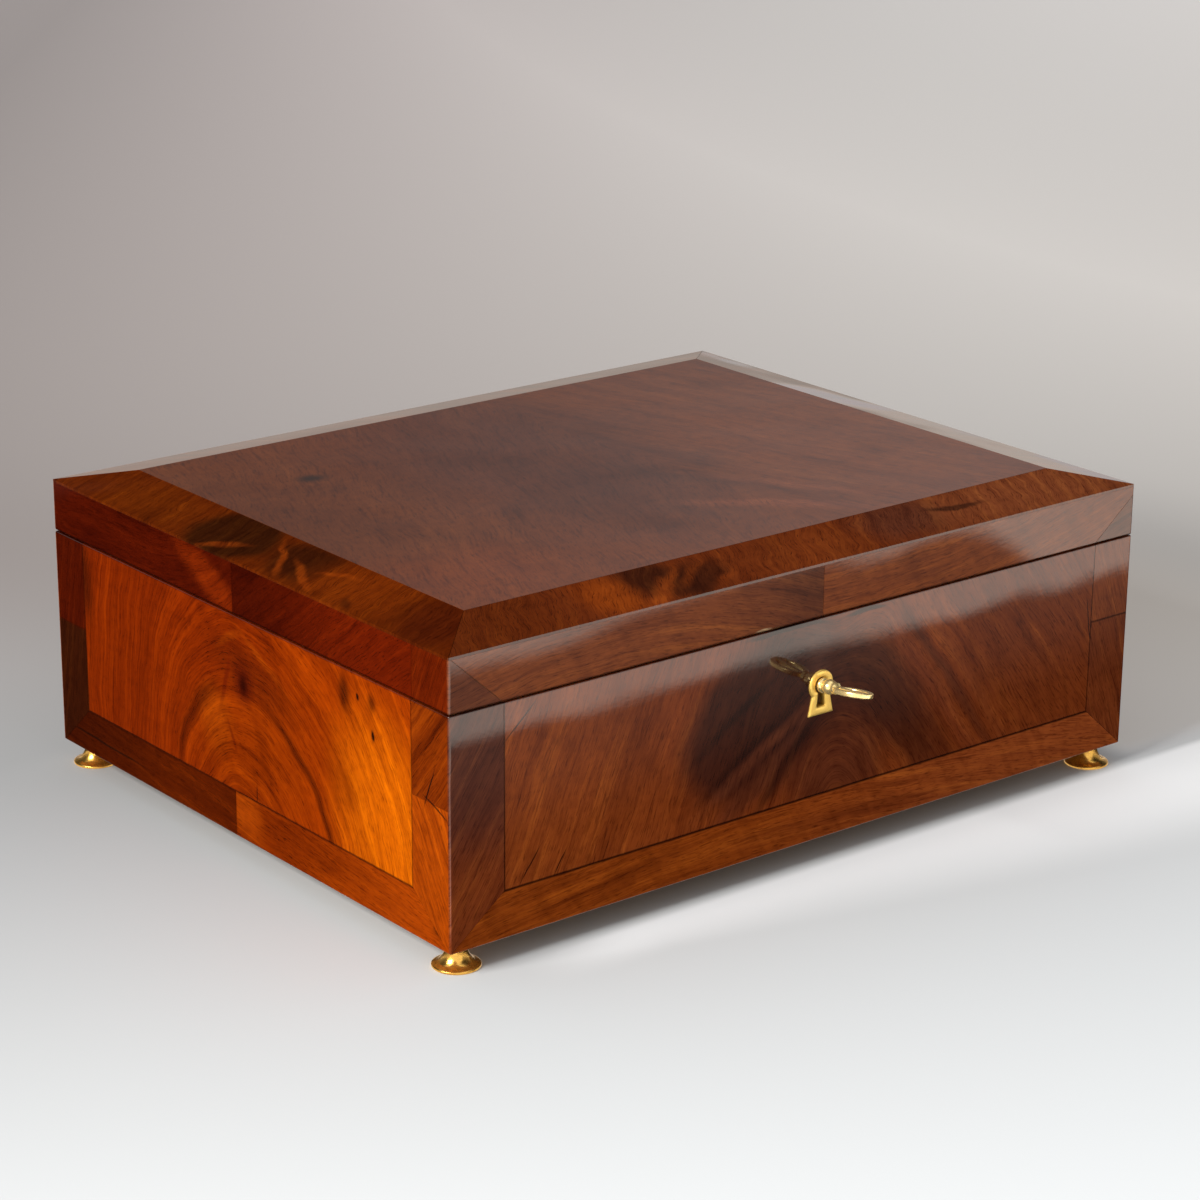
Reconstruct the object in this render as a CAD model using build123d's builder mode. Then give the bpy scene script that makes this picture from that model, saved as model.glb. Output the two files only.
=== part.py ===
from build123d import *
import os
from math import atan, cos, radians, sin, tan

# A veneered jewelry casket: a softwood case and a hinged lid with a canted top, both covered
# with sawn mahogany veneer, on four turned brass feet, with a box lock and its key.
# Millimetres. X runs to the right along the front, Y runs from the front to the back, Z is up.
# The origin is on the floor, under the middle of the box that holds the whole casket and its key.

os.makedirs("parts", exist_ok=True)

# Case and lid, outside sizes over the veneer
case_width = 342.6
case_depth = 269.2
body_height = 90.0
seam_gap = 0.4
lid_edge_height = 21.1
bevel_rise = 5.3
bevel_width = 25.2

# Boards and veneer
board = 12.0
bottom_board = 10.0
lid_board = 9.0
veneer = 1.0
glue_line = 0.15
corner_round = 0.8
rim_round = 0.5

# Crossbanding round the body's panels
front_left_band = 23.8
front_right_band = 21.0
front_bottom_band = 18.5
side_back_band = 21.4
side_front_band = 22.4
side_bottom_band = 18.5

# Joints where a band is made up of two lengths, from the body's underside or the case's middle
front_right_joint = 57.0
left_back_joint = 53.3
left_front_joint = 54.4
left_bottom_joint = 3.8
lid_front_joint = 2.6
lid_left_joint = 2.5
lid_corner_piece = 22.0
lid_patch_width = 21.6
lid_patch_height = 17.1
lid_mitre_width = 23.4

# Turned brass feet
foot_height = 9.5
foot_flange_radius = 9.1
foot_rim = 1.1
foot_neck_radius = 4.1
foot_collar_radius = 4.6
foot_collar = 1.4
foot_inset = 9.2
foot_shank_radius = 1.6
foot_shank = 7.0

# Butt hinges let into the back rims
lid_opening = 97.0
hinge_inset = 1.2
hinge_length = 42.0
hinge_from_side = 69.3
leaf_width = 10.4
leaf_thickness = 1.5
knuckle_radius = 2.3
knuckle_gap = 0.3
hinge_pin_radius = 1.0
hinge_screw_pitch = 14.0

# Countersunk wood screws
screw_head_radius = 2.0
screw_shank_radius = 1.0
screw_length = 7.0
screw_slot_width = 0.5
screw_slot_depth = 0.5

# Lock let into the front board from the inside
lock_offset = 2.4
key_below_rim = 26.85
lock_plate_thickness = 1.5
lock_wall = 1.2
lock_cap = 1.0
lock_cavity = 7.3
lock_half_width = 29.4
lock_ear = 7.6
lock_below_key = 9.6
backplate_skirt = 3.0

# Bolt, its two guide stumps and its spring
bolt_throw = 6.0
bolt_thickness = 2.4
bolt_above_key = 4.0
bolt_web = 7.0
bolt_notch = 8.0
bolt_notch_room = 0.5
tongue_length = 6.6
tongue_height = 4.0
tongue_drop = 1.2
tongue_start = 0.6
bolt_post = 4.0
stump_radius = 1.2
stump_shoulder = 2.4
stump_spread = 12.5
spring_thickness = 0.4

# Link plate under the lid's front rail
link_spread = 15.0
link_thickness = 2.4
link_wall = 1.2
link_bottom = 1.8
link_eye_room = 0.5
link_plate_width = 8.0
link_plate_half = 24.0
link_plate_thickness = 1.5

# Keyhole and its brass escutcheon
keyhole_radius = 3.1
keyhole_slot_top = 3.0
keyhole_slot_bottom = 4.1
keyhole_drop = 8.5
escutcheon_radius = 6.0
escutcheon_shoulder = 9.0
escutcheon_foot = 12.6
escutcheon_drop = 11.9
escutcheon_proud = 0.8
escutcheon_depth = 2.0

# Pipe key
key_tilt = 6.0
key_rest_angle = 13.0
key_stem_radius = 1.9
key_pipe_radius = 1.0
key_pipe_depth = 8.0
key_tip = 10.9
key_bit_radius = 6.5
key_bit_thickness = 2.0
key_bit_length = 5.0
key_bit_setback = 0.8
key_ball_radius = 3.0
key_ball_reach = 5.0
key_bow_start = 9.4
key_bow_half_width = 6.8
key_bow_half_length = 8.6
key_bow_thickness = 2.0
key_bow_ring = 2.2
key_bow_bar = 2.2
key_bow_round = 0.5
key_ward_cut = 0.8
key_ward_depth = 2.0

# Cloth-covered card linings
lining = 2.0
lining_drop = 1.0

# Clearances
running_fit = 0.05
bolt_play = 0.2
turning_room = 0.5
lining_room = 0.3
seat_room = 0.1

# Levels and places worked out from the sizes above
key_end = key_bow_start + 2 * key_bow_half_length
knuckle_reach = knuckle_radius - hinge_inset
key_reach = key_end * cos(radians(key_tilt)) + key_bow_thickness / 2 * sin(radians(key_tilt))
front_y = (key_reach - knuckle_reach - case_depth) / 2
back_y = front_y + case_depth
middle_y = (front_y + back_y) / 2
side_x = case_width / 2
body_bottom = foot_height
floor_level = body_bottom + bottom_board
rim = body_bottom + body_height
lid_bottom = rim + seam_gap
lid_edge = lid_bottom + lid_edge_height
lid_top = lid_edge + bevel_rise
lid_board_bottom = lid_top - veneer - lid_board
bevel_slope = atan(bevel_rise / bevel_width)
bevel_skin = veneer / cos(bevel_slope)
core_width = case_width - 2 * veneer
core_depth = case_depth - 2 * veneer
wall = board + veneer
inside_width = case_width - 2 * wall
inside_depth = case_depth - 2 * wall
hinge_y = back_y - hinge_inset
hinge_z = rim + seam_gap / 2
corner_fillet = min(corner_round, 0.9 * veneer)
rim_fillet = min(rim_round, 0.6 * veneer)
past_ends = 2 * case_width


def save(piece, name):
    piece.part.label = name
    export_step(piece.part, f"parts/{name}.step")


# Outer faces of the case: local x runs along the face and local y up from the given level
def face_planes(level):
    return {
        "front": Plane(origin=(0, front_y, level), x_dir=(1, 0, 0), z_dir=(0, -1, 0)),
        "back": Plane(origin=(0, back_y, level), x_dir=(-1, 0, 0), z_dir=(0, 1, 0)),
        "left": Plane(origin=(-side_x, middle_y, level), x_dir=(0, -1, 0), z_dir=(-1, 0, 0)),
        "right": Plane(origin=(side_x, middle_y, level), x_dir=(0, 1, 0), z_dir=(1, 0, 0)),
    }


body_faces = face_planes(body_bottom)
lid_faces = face_planes(lid_bottom)

# The body's outer shape, its corners and rims slightly rounded
with BuildPart() as body_outer:
    with BuildSketch(Plane.XY.offset(body_bottom)):
        with Locations((0, middle_y)):
            Rectangle(case_width, case_depth)
    extrude(amount=body_height)
    fillet(body_outer.edges().filter_by(Axis.Z), corner_fillet)
    levels = body_outer.edges().group_by(Axis.Z)
    fillet(levels[0] + levels[-1], rim_fillet)


# Stop bevels: the back rims are cut away from the hinge line, so that the lid leans on the case
# when it stands open
def stop_wedge(level, turn_away):
    lean = radians(lid_opening / 2)
    out = 4 * knuckle_radius
    with BuildPart() as wedge:
        with BuildSketch(Plane.YZ):
            with BuildLine():
                Polyline(
                    (hinge_y, level),
                    (hinge_y + out * cos(lean), level + turn_away * out * sin(lean)),
                    (hinge_y + out * cos(lean), level - turn_away * seam_gap / 2),
                    (hinge_y, level - turn_away * seam_gap / 2),
                    close=True,
                )
            make_face()
        extrude(amount=past_ends / 2, both=True)
    return wedge.part


body_stop = stop_wedge(rim, -1)
lid_stop = stop_wedge(lid_bottom, 1)

# The lid's shape over the veneer, rounded in the same way, and the shape under the veneer of its canted top
with BuildPart() as lid_outer:
    with BuildSketch(Plane.XY.offset(lid_edge)):
        with Locations((0, middle_y)):
            Rectangle(case_width, case_depth)
    with BuildSketch(Plane.XY.offset(lid_top)):
        with Locations((0, middle_y)):
            Rectangle(case_width - 2 * bevel_width, case_depth - 2 * bevel_width)
    loft()
    with BuildSketch(Plane.XY.offset(lid_bottom)):
        with Locations((0, middle_y)):
            Rectangle(case_width, case_depth)
    extrude(amount=lid_edge_height)
    fillet(lid_outer.edges().filter_by(Axis.Z), corner_fillet)
    levels = lid_outer.edges().group_by(Axis.Z)
    fillet(levels[0], rim_fillet)

core_inset = (bevel_rise - veneer + bevel_skin) / tan(bevel_slope)
with BuildPart() as lid_under:
    with BuildSketch(Plane.XY.offset(lid_edge - bevel_skin)):
        with Locations((0, middle_y)):
            Rectangle(case_width, case_depth)
    with BuildSketch(Plane.XY.offset(lid_top - veneer)):
        with Locations((0, middle_y)):
            Rectangle(case_width - 2 * core_inset, case_depth - 2 * core_inset)
    loft()
    with BuildSketch(Plane.XY.offset(lid_bottom)):
        with Locations((0, middle_y)):
            Rectangle(case_width, case_depth)
    extrude(amount=lid_edge_height - bevel_skin)

# Screw with a slotted countersunk head, its head flush with the plane it is put on, and its hole
with BuildPart() as screw:
    with BuildSketch(Plane.XZ):
        with BuildLine():
            Polyline(
                (0, 0),
                (screw_head_radius, 0),
                (screw_shank_radius, screw_shank_radius - screw_head_radius),
                (screw_shank_radius, 2 * screw_shank_radius - screw_length),
                (0, -screw_length),
                close=True,
            )
        make_face()
    revolve(axis=Axis.Z)
    with BuildSketch(Plane.XY):
        Rectangle(3 * screw_head_radius, screw_slot_width)
    extrude(amount=-screw_slot_depth, mode=Mode.SUBTRACT)

with BuildPart() as screw_hole:
    with BuildSketch(Plane.XZ):
        with BuildLine():
            Polyline(
                (0, seat_room),
                (screw_head_radius + running_fit, seat_room),
                (screw_head_radius + running_fit, 0),
                (screw_shank_radius + running_fit, screw_shank_radius - screw_head_radius),
                (screw_shank_radius + running_fit, 2 * screw_shank_radius - screw_length),
                (0, -screw_length - seat_room),
                close=True,
            )
        make_face()
    revolve(axis=Axis.Z)

# Hinges: the body's leaf carries the two end knuckles and the lid's leaf the middle one
hinge_places = {"left": hinge_from_side - side_x, "right": side_x - hinge_from_side}
knuckle_length = (hinge_length - 2 * knuckle_gap) / 3
end_knuckle_shift = knuckle_length + knuckle_gap
leaf_screw_y = hinge_y - (leaf_width + knuckle_radius) / 2


def hinge_screw_planes(level, facing):
    planes = []
    for middle in hinge_places.values():
        for step in (-1, 0, 1):
            spot = (middle + step * hinge_screw_pitch, leaf_screw_y, level)
            planes.append(Plane(origin=spot, x_dir=(1, 0, 0), z_dir=(0, 0, facing)).location)
    return planes


body_leaf_screws = hinge_screw_planes(rim, 1)
lid_leaf_screws = hinge_screw_planes(lid_bottom, -1)


# Cylinders along the hinge line, one for each shift from a hinge's middle
def knuckles(middle, shifts, radius, length):
    with BuildPart() as barrels:
        for shift in shifts:
            with BuildSketch(Plane.YZ.offset(middle + shift)):
                with Locations((hinge_y, hinge_z)):
                    Circle(radius)
            extrude(amount=length / 2, both=True)
    return barrels.part


def hinge_leaf(middle, level, down, own_shifts, other_shifts, screw_places):
    own_knuckles = knuckles(middle, own_shifts, knuckle_radius, knuckle_length)
    clear_length = knuckle_length + 2 * knuckle_gap
    knuckle_room = knuckles(middle, other_shifts, knuckle_radius + knuckle_gap, clear_length)
    with BuildPart() as leaf:
        with BuildSketch(Plane.YZ.offset(middle)):
            with BuildLine():
                Polyline(
                    (hinge_y, level),
                    (hinge_y - leaf_width, level),
                    (hinge_y - leaf_width, level + down * leaf_thickness),
                    (hinge_y, level + down * leaf_thickness),
                    close=True,
                )
            make_face()
        extrude(amount=hinge_length / 2, both=True)
        add(knuckle_room, mode=Mode.SUBTRACT)
        add(own_knuckles)
        with BuildSketch(Plane.YZ.offset(middle)):
            with Locations((hinge_y, hinge_z)):
                Circle(hinge_pin_radius + running_fit)
        extrude(amount=hinge_length, both=True, mode=Mode.SUBTRACT)
        with Locations(*screw_places):
            add(screw_hole.part, mode=Mode.SUBTRACT)
    return leaf


end_shifts = (-end_knuckle_shift, end_knuckle_shift)
for side, middle in hinge_places.items():
    body_leaf = hinge_leaf(middle, rim, -1, end_shifts, (0,), body_leaf_screws)
    save(body_leaf, f"{side}_hinge_body_leaf")
    lid_leaf = hinge_leaf(middle, lid_bottom, 1, (0,), end_shifts, lid_leaf_screws)
    save(lid_leaf, f"{side}_hinge_lid_leaf")

with BuildPart() as hinge_pins:
    for middle in hinge_places.values():
        with BuildSketch(Plane.YZ.offset(middle)):
            with Locations((hinge_y, hinge_z)):
                Circle(hinge_pin_radius)
        extrude(amount=hinge_length / 2, both=True)
save(hinge_pins, "hinge_pins")

with BuildPart() as hinge_body_screws:
    with Locations(*body_leaf_screws):
        add(screw.part)
save(hinge_body_screws, "hinge_body_screws")

with BuildPart() as hinge_lid_screws:
    with Locations(*lid_leaf_screws):
        add(screw.part)
save(hinge_lid_screws, "hinge_lid_screws")


# Recess for a leaf in a rim, with a hollow round the knuckles
def hinge_recess(level, down):
    with BuildPart() as recess:
        for middle in hinge_places.values():
            with BuildSketch(Plane.YZ.offset(middle)):
                with BuildLine():
                    Polyline(
                        (hinge_y - leaf_width, level - down * seam_gap),
                        (hinge_y - leaf_width, level + down * leaf_thickness),
                        (back_y + veneer, level + down * leaf_thickness),
                        (back_y + veneer, level - down * seam_gap),
                        close=True,
                    )
                make_face()
                with Locations((hinge_y, hinge_z)):
                    Circle(knuckle_radius + knuckle_gap)
            extrude(amount=hinge_length / 2, both=True)
    return recess.part


body_hinge_recess = hinge_recess(rim, -1)
lid_hinge_recess = hinge_recess(lid_bottom, 1)


# Keyhole shape: a round over a slot or foot that widens downwards
def keyhole_shape(radius, shoulder, foot, drop):
    neck = (radius**2 - (shoulder / 2) ** 2) ** 0.5
    with BuildSketch() as shape:
        Circle(radius)
        with BuildLine():
            Polyline(
                (-shoulder / 2, -neck),
                (shoulder / 2, -neck),
                (foot / 2, -drop),
                (-foot / 2, -drop),
                close=True,
            )
        make_face()
    return shape.sketch


keyhole_outline = keyhole_shape(
    keyhole_radius, keyhole_slot_top, keyhole_slot_bottom, keyhole_drop
)
escutcheon_outline = keyhole_shape(
    escutcheon_radius, escutcheon_shoulder, escutcheon_foot, escutcheon_drop
)

# The key leans up towards its bow, as it does in a worn keyhole: local x lies in the flat of the
# bow, towards its right side, and local z points out of the lock
key_x = lock_offset
key_z = rim - key_below_rim
key_lean = radians(key_tilt)
key_roll = radians(key_rest_angle)
key_face = Plane(origin=(key_x, front_y, key_z), x_dir=(1, 0, 0), z_dir=(0, -1, 0))
key_plane = Plane(
    origin=(key_x, front_y, key_z),
    x_dir=(cos(key_roll), -sin(key_roll) * sin(key_lean), -sin(key_roll) * cos(key_lean)),
    z_dir=(0, -cos(key_lean), sin(key_lean)),
)

with BuildPart() as keyhole:
    with BuildSketch(key_face):
        add(keyhole_outline)
    extrude(amount=wall + veneer, both=True)

with BuildPart() as escutcheon_seat:
    with BuildSketch(key_face.offset(-escutcheon_depth)):
        add(escutcheon_outline)
    extrude(amount=2 * escutcheon_depth)

with BuildPart() as escutcheon:
    with BuildSketch(key_face.offset(-escutcheon_depth)):
        add(escutcheon_outline)
    extrude(amount=escutcheon_depth + escutcheon_proud)
    front_rim = escutcheon.faces().sort_by(Axis.Y)[0].edges()
    fillet(front_rim, escutcheon_proud / 2)
    add(keyhole.part, mode=Mode.SUBTRACT)
save(escutcheon, "escutcheon")

# Lock case: a back plate flush with the inside, a top plate flush with the rim, and a tray
lock_back = front_y + wall
backplate_inner = lock_back - lock_plate_thickness
cap_back = backplate_inner - lock_cavity
cap_front = cap_back - lock_cap
lock_depth = lock_back - cap_front
lock_middle_y = (cap_front + lock_back) / 2
lock_bottom = key_z - lock_below_key
lock_ceiling = rim - lock_plate_thickness
backplate_bottom = lock_bottom - backplate_skirt
plate_half_width = lock_half_width + lock_ear

# Where the bolt, its stumps and the links stand, measured from the key's height at the bolt
bolt_y = (backplate_inner + cap_back) / 2
key_z_at_bolt = key_z - (bolt_y - front_y) * tan(key_lean)
bolt_bottom = key_z_at_bolt + bolt_above_key
bolt_top = bolt_bottom + bolt_web
bolt_front = bolt_y - bolt_thickness / 2
bolt_back = bolt_y + bolt_thickness / 2
tongue_top = lock_ceiling - tongue_drop
tongue_bottom = tongue_top - tongue_height
link_eye_top = tongue_top + link_eye_room
link_eye_bottom = tongue_bottom - link_eye_room
link_low = link_eye_bottom - link_bottom
link_eye_width = bolt_thickness + 2 * link_eye_room
link_width = link_eye_width + 2 * link_wall
link_places = (key_x - link_spread, key_x + link_spread)
stump_z = bolt_bottom + bolt_web / 2


# Upright plane at depth y, facing the front, for pieces that lie along the front board
def upright(y):
    return Plane(origin=(key_x, y, 0), x_dir=(1, 0, 0), z_dir=(0, -1, 0))


lock_screw_places = []
for reach in (-plate_half_width + lock_ear / 2, plate_half_width - lock_ear / 2):
    lock_screw_places.append(Plane(origin=(key_x + reach, lock_middle_y, rim)).location)
    for level in (backplate_bottom + lock_ear / 2, lock_ceiling - 2 * lock_ear):
        spot = (key_x + reach, lock_back, level)
        seat = Plane(origin=spot, x_dir=(1, 0, 0), z_dir=(0, 1, 0))
        lock_screw_places.append(seat.location)

with BuildPart() as lock_block:
    with BuildSketch(upright(lock_back)):
        with Locations((0, (lock_bottom + rim) / 2)):
            Rectangle(2 * lock_half_width, rim - lock_bottom)
    extrude(amount=lock_depth)

with BuildPart() as lock_flange:
    with BuildSketch(upright(lock_back)):
        with Locations((0, (backplate_bottom + rim) / 2)):
            Rectangle(2 * plate_half_width, rim - backplate_bottom)
    extrude(amount=lock_plate_thickness)
    with BuildSketch(Plane.XY.offset(rim)):
        with Locations((key_x, lock_middle_y)):
            Rectangle(2 * plate_half_width, lock_depth)
    extrude(amount=-lock_plate_thickness)

with BuildPart() as lock_plate:
    add(lock_block.part)
    add(lock_flange.part)
    with BuildSketch(upright(backplate_inner)):
        with Locations((0, (lock_bottom + lock_wall + lock_ceiling) / 2)):
            Rectangle(2 * (lock_half_width - lock_wall), lock_ceiling - lock_bottom - lock_wall)
    extrude(amount=lock_cavity, mode=Mode.SUBTRACT)
    with BuildSketch(upright(cap_back)):
        with Locations((0, (lock_bottom + lock_ceiling) / 2)):
            Rectangle(2 * lock_half_width, lock_ceiling - lock_bottom)
    extrude(amount=lock_cap, mode=Mode.SUBTRACT)
    with BuildSketch(Plane.XY.offset(rim)):
        with Locations(*[(link_x, bolt_y) for link_x in link_places]):
            Rectangle(link_thickness + 2 * turning_room, link_width + 2 * turning_room)
    extrude(amount=-lock_plate_thickness, mode=Mode.SUBTRACT)
    with BuildSketch(upright(backplate_inner)):
        with Locations((-stump_spread, stump_z), (stump_spread, stump_z)):
            Circle(stump_shoulder)
    extrude(amount=backplate_inner - bolt_back - bolt_play)
    with BuildSketch(upright(backplate_inner)):
        with Locations((-stump_spread, stump_z), (stump_spread, stump_z)):
            Circle(stump_radius)
    extrude(amount=lock_cavity)
    with BuildSketch(key_plane.offset(-wall - lock_plate_thickness)):
        Circle(key_pipe_radius - running_fit)
    extrude(amount=2 * lock_plate_thickness, mode=Mode.SUBTRACT)
    with Locations(*lock_screw_places):
        add(screw_hole.part, mode=Mode.SUBTRACT)
save(lock_plate, "lock_plate")

with BuildPart() as lock_pin:
    with BuildSketch(key_plane.offset(-wall - lock_plate_thickness)):
        Circle(key_pipe_radius - running_fit)
    extrude(amount=wall + lock_plate_thickness - key_tip + key_pipe_depth - 2 * seat_room)
    with BuildSketch(upright(lock_back)):
        with Locations((0, key_z)):
            Rectangle(lock_half_width, lock_half_width)
    extrude(amount=-wall, mode=Mode.SUBTRACT)
save(lock_pin, "lock_pin")

# Cap that closes the tray, with the keyhole and two bosses that keep the bolt on its stumps
with BuildPart() as lock_cap_plate:
    with BuildSketch(upright(cap_back)):
        with Locations((0, (lock_bottom + lock_ceiling) / 2)):
            Rectangle(2 * lock_half_width, lock_ceiling - lock_bottom)
    extrude(amount=lock_cap)
    with BuildSketch(upright(bolt_front - bolt_play)):
        with Locations((-stump_spread, stump_z), (stump_spread, stump_z)):
            Circle(stump_shoulder)
            Circle(stump_radius + running_fit, mode=Mode.SUBTRACT)
    extrude(amount=bolt_front - bolt_play - cap_back)
    add(keyhole.part, mode=Mode.SUBTRACT)
save(lock_cap_plate, "lock_cap")

with BuildPart() as lock_screws:
    with Locations(*lock_screw_places):
        add(screw.part)
save(lock_screws, "lock_screws")

# Bolt: a web with the key's notch and two guide slots, and two posts whose tongues enter the links
tongue_tips = [link_x - key_x - link_thickness / 2 - tongue_start for link_x in link_places]
bolt_left = tongue_tips[0] - tongue_length - bolt_post
spring_tip = link_spread + link_thickness / 2 + 2 * link_eye_room
bolt_right = spring_tip + bolt_post / 2
slot_half = stump_radius + bolt_play
notch_top = key_z_at_bolt + key_bit_radius + bolt_notch_room

with BuildPart() as lock_bolt:
    with BuildSketch(upright(bolt_back)):
        with Locations(((bolt_left + bolt_right) / 2, stump_z)):
            Rectangle(bolt_right - bolt_left, bolt_web)
        for tip in tongue_tips:
            post_height = tongue_top - stump_z
            with Locations((tip - tongue_length - bolt_post / 2, stump_z + post_height / 2)):
                Rectangle(bolt_post, post_height)
            with Locations((tip - tongue_length / 2, tongue_top - tongue_height / 2)):
                Rectangle(tongue_length, tongue_height)
        with Locations((-bolt_throw / 2, (bolt_bottom + notch_top) / 2)):
            Rectangle(bolt_notch, notch_top - bolt_bottom, mode=Mode.SUBTRACT)
        slot_middles = [(x - bolt_throw / 2, stump_z) for x in (-stump_spread, stump_spread)]
        with Locations(*slot_middles):
            SlotCenterToCenter(bolt_throw, 2 * slot_half, mode=Mode.SUBTRACT)
    extrude(amount=bolt_thickness)
save(lock_bolt, "lock_bolt")

spring_foot = lock_half_width - lock_wall - running_fit
spring_low = bolt_top + bolt_play + spring_thickness / 2
spring_rise = bolt_web / 2
with BuildPart() as bolt_spring:
    with BuildSketch(upright(bolt_back)):
        with BuildLine():
            ThreePointArc(
                (spring_tip, spring_low),
                ((spring_tip + spring_foot) / 2, spring_low + spring_rise * 0.7),
                (spring_foot, spring_low + spring_rise),
            )
        trace(line_width=spring_thickness)
    extrude(amount=bolt_thickness)
save(bolt_spring, "bolt_spring")

# Link plate let into the lid's front rim, with two links that drop into the lock
link_screw_reach = link_plate_half - link_plate_width / 2
link_screw_places = []
for reach in (-link_screw_reach, link_screw_reach):
    spot = (key_x + reach, bolt_y, lid_bottom)
    link_screw_places.append(Plane(origin=spot, x_dir=(1, 0, 0), z_dir=(0, 0, -1)).location)

with BuildPart() as link_block:
    with BuildSketch(Plane.XY.offset(lid_bottom)):
        with Locations((key_x, bolt_y)):
            Rectangle(2 * link_plate_half, link_plate_width)
    extrude(amount=link_plate_thickness)

with BuildPart() as link_plate:
    add(link_block.part)
    for link_x in link_places:
        with BuildSketch(Plane.YZ.offset(link_x - link_thickness / 2)):
            with Locations((bolt_y, (link_low + lid_bottom) / 2)):
                Rectangle(link_width, lid_bottom - link_low)
            with Locations((bolt_y, (link_eye_top + link_eye_bottom) / 2)):
                Rectangle(link_eye_width, link_eye_top - link_eye_bottom, mode=Mode.SUBTRACT)
        extrude(amount=link_thickness)
    link_corners = link_plate.edges().filter_by(Axis.X).group_by(Axis.Z)[0]
    fillet(link_corners, link_wall)
    with Locations(*link_screw_places):
        add(screw_hole.part, mode=Mode.SUBTRACT)
save(link_plate, "link_plate")

with BuildPart() as link_screws:
    with Locations(*link_screw_places):
        add(screw.part)
save(link_screws, "link_screws")

# Key: turned stem with a ball and collars, a flat pierced bow and a bit with one ward cut.
# It is drawn upright, its tip down, and then laid along the key's own plane.
collar_low = 0.4
collar_high = 2.8
ball_neck = 0.65 * key_ball_radius
ball_dip = (key_ball_radius**2 - ball_neck**2) ** 0.5
root_collar = 0.75 * key_ball_radius
bit_middle = -key_tip + key_bit_setback + key_bit_length / 2
with BuildPart() as key_bow:
    with BuildSketch(Plane.XZ.offset(-key_bow_thickness / 2)):
        with Locations((0, key_bow_start + key_bow_half_length)):
            Ellipse(key_bow_half_width, key_bow_half_length)
            Ellipse(
                key_bow_half_width - key_bow_ring,
                key_bow_half_length - key_bow_ring,
                mode=Mode.SUBTRACT,
            )
            Rectangle(key_bow_bar, 2 * key_bow_half_length - key_bow_ring)
    extrude(amount=key_bow_thickness)
    flat_faces = key_bow.faces().group_by(Axis.Y)
    fillet(flat_faces[0].edges() + flat_faces[-1].edges(), key_bow_round)

with BuildPart() as key_blank:
    with BuildSketch(Plane.XZ):
        with BuildLine():
            Polyline(
                (0, key_bow_start + key_bow_ring),
                (0, -key_tip),
                (key_stem_radius, -key_tip),
                (key_stem_radius, collar_low),
            )
            ThreePointArc(
                (key_stem_radius, collar_low),
                (key_ball_radius, (collar_low + collar_high) / 2),
                (key_stem_radius, collar_high),
            )
            Line((key_stem_radius, collar_high), (ball_neck, key_ball_reach - ball_dip))
            ThreePointArc(
                (ball_neck, key_ball_reach - ball_dip),
                (key_ball_radius, key_ball_reach),
                (ball_neck, key_ball_reach + ball_dip),
            )
            Polyline(
                (ball_neck, key_ball_reach + ball_dip),
                (root_collar, key_ball_reach + ball_dip + collar_low),
                (root_collar, key_bow_start - collar_low),
                (key_bow_ring / 2, key_bow_start + collar_low),
                (0, key_bow_start + key_bow_ring),
            )
        make_face()
    revolve(axis=Axis.Z)
    add(key_bow.part)
    with BuildSketch(Plane.XZ.offset(-key_bit_thickness / 2)):
        with Locations((-key_bit_radius / 2, bit_middle)):
            Rectangle(key_bit_radius, key_bit_length)
        with Locations((-key_bit_radius + key_ward_depth / 2, bit_middle)):
            Rectangle(key_ward_depth, key_ward_cut, mode=Mode.SUBTRACT)
    extrude(amount=key_bit_thickness)
    with BuildSketch(Plane.XY.offset(-key_tip)):
        Circle(key_pipe_radius)
    extrude(amount=key_pipe_depth, mode=Mode.SUBTRACT)

with BuildPart() as key:
    with Locations(key_plane.location):
        add(key_blank.part)
save(key, "key")

# Softwood boards: the bottom lies under the four walls, and the sides stand between front and back
def block(width, depth, low, high, x=0, y=middle_y):
    with BuildPart() as solid:
        with BuildSketch(Plane.XY.offset(low)):
            with Locations((x, y)):
                Rectangle(width, depth)
        extrude(amount=high - low)
    return solid.part


def cut_by(piece, *cutters):
    with BuildPart() as rest:
        add(piece)
        for cutter in cutters:
            add(cutter, mode=Mode.SUBTRACT)
    return rest


def copies(piece, places):
    with BuildPart() as group:
        with Locations(*places):
            add(piece)
    return group.part


front_board_y = front_y + wall - board / 2
back_board_y = back_y - wall + board / 2
side_board_x = side_x - wall + board / 2
foot_reach_x = side_x - foot_inset
foot_reach_y = case_depth / 2 - foot_inset
foot_places = {
    "front_left": (-foot_reach_x, middle_y - foot_reach_y),
    "front_right": (foot_reach_x, middle_y - foot_reach_y),
    "back_left": (-foot_reach_x, middle_y + foot_reach_y),
    "back_right": (foot_reach_x, middle_y + foot_reach_y),
}
body_leaf_holes = copies(screw_hole.part, body_leaf_screws)
lid_leaf_holes = copies(screw_hole.part, lid_leaf_screws)
lock_screw_holes = copies(screw_hole.part, lock_screw_places)
link_screw_holes = copies(screw_hole.part, link_screw_places)

with BuildPart() as bottom_plate:
    with BuildSketch(Plane.XY.offset(body_bottom)):
        with Locations((0, middle_y)):
            Rectangle(core_width, core_depth)
    extrude(amount=bottom_board)
    with BuildSketch(Plane.XY.offset(body_bottom)):
        with Locations(*foot_places.values()):
            Circle(foot_shank_radius + running_fit)
    extrude(amount=foot_shank + seat_room, mode=Mode.SUBTRACT)
save(bottom_plate, "bottom_board")

front_blank = block(core_width, board, floor_level, rim, 0, front_board_y)
front_board = cut_by(
    front_blank,
    keyhole.part,
    escutcheon_seat.part,
    lock_block.part,
    lock_flange.part,
    lock_screw_holes,
)
save(front_board, "front_board")

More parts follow.
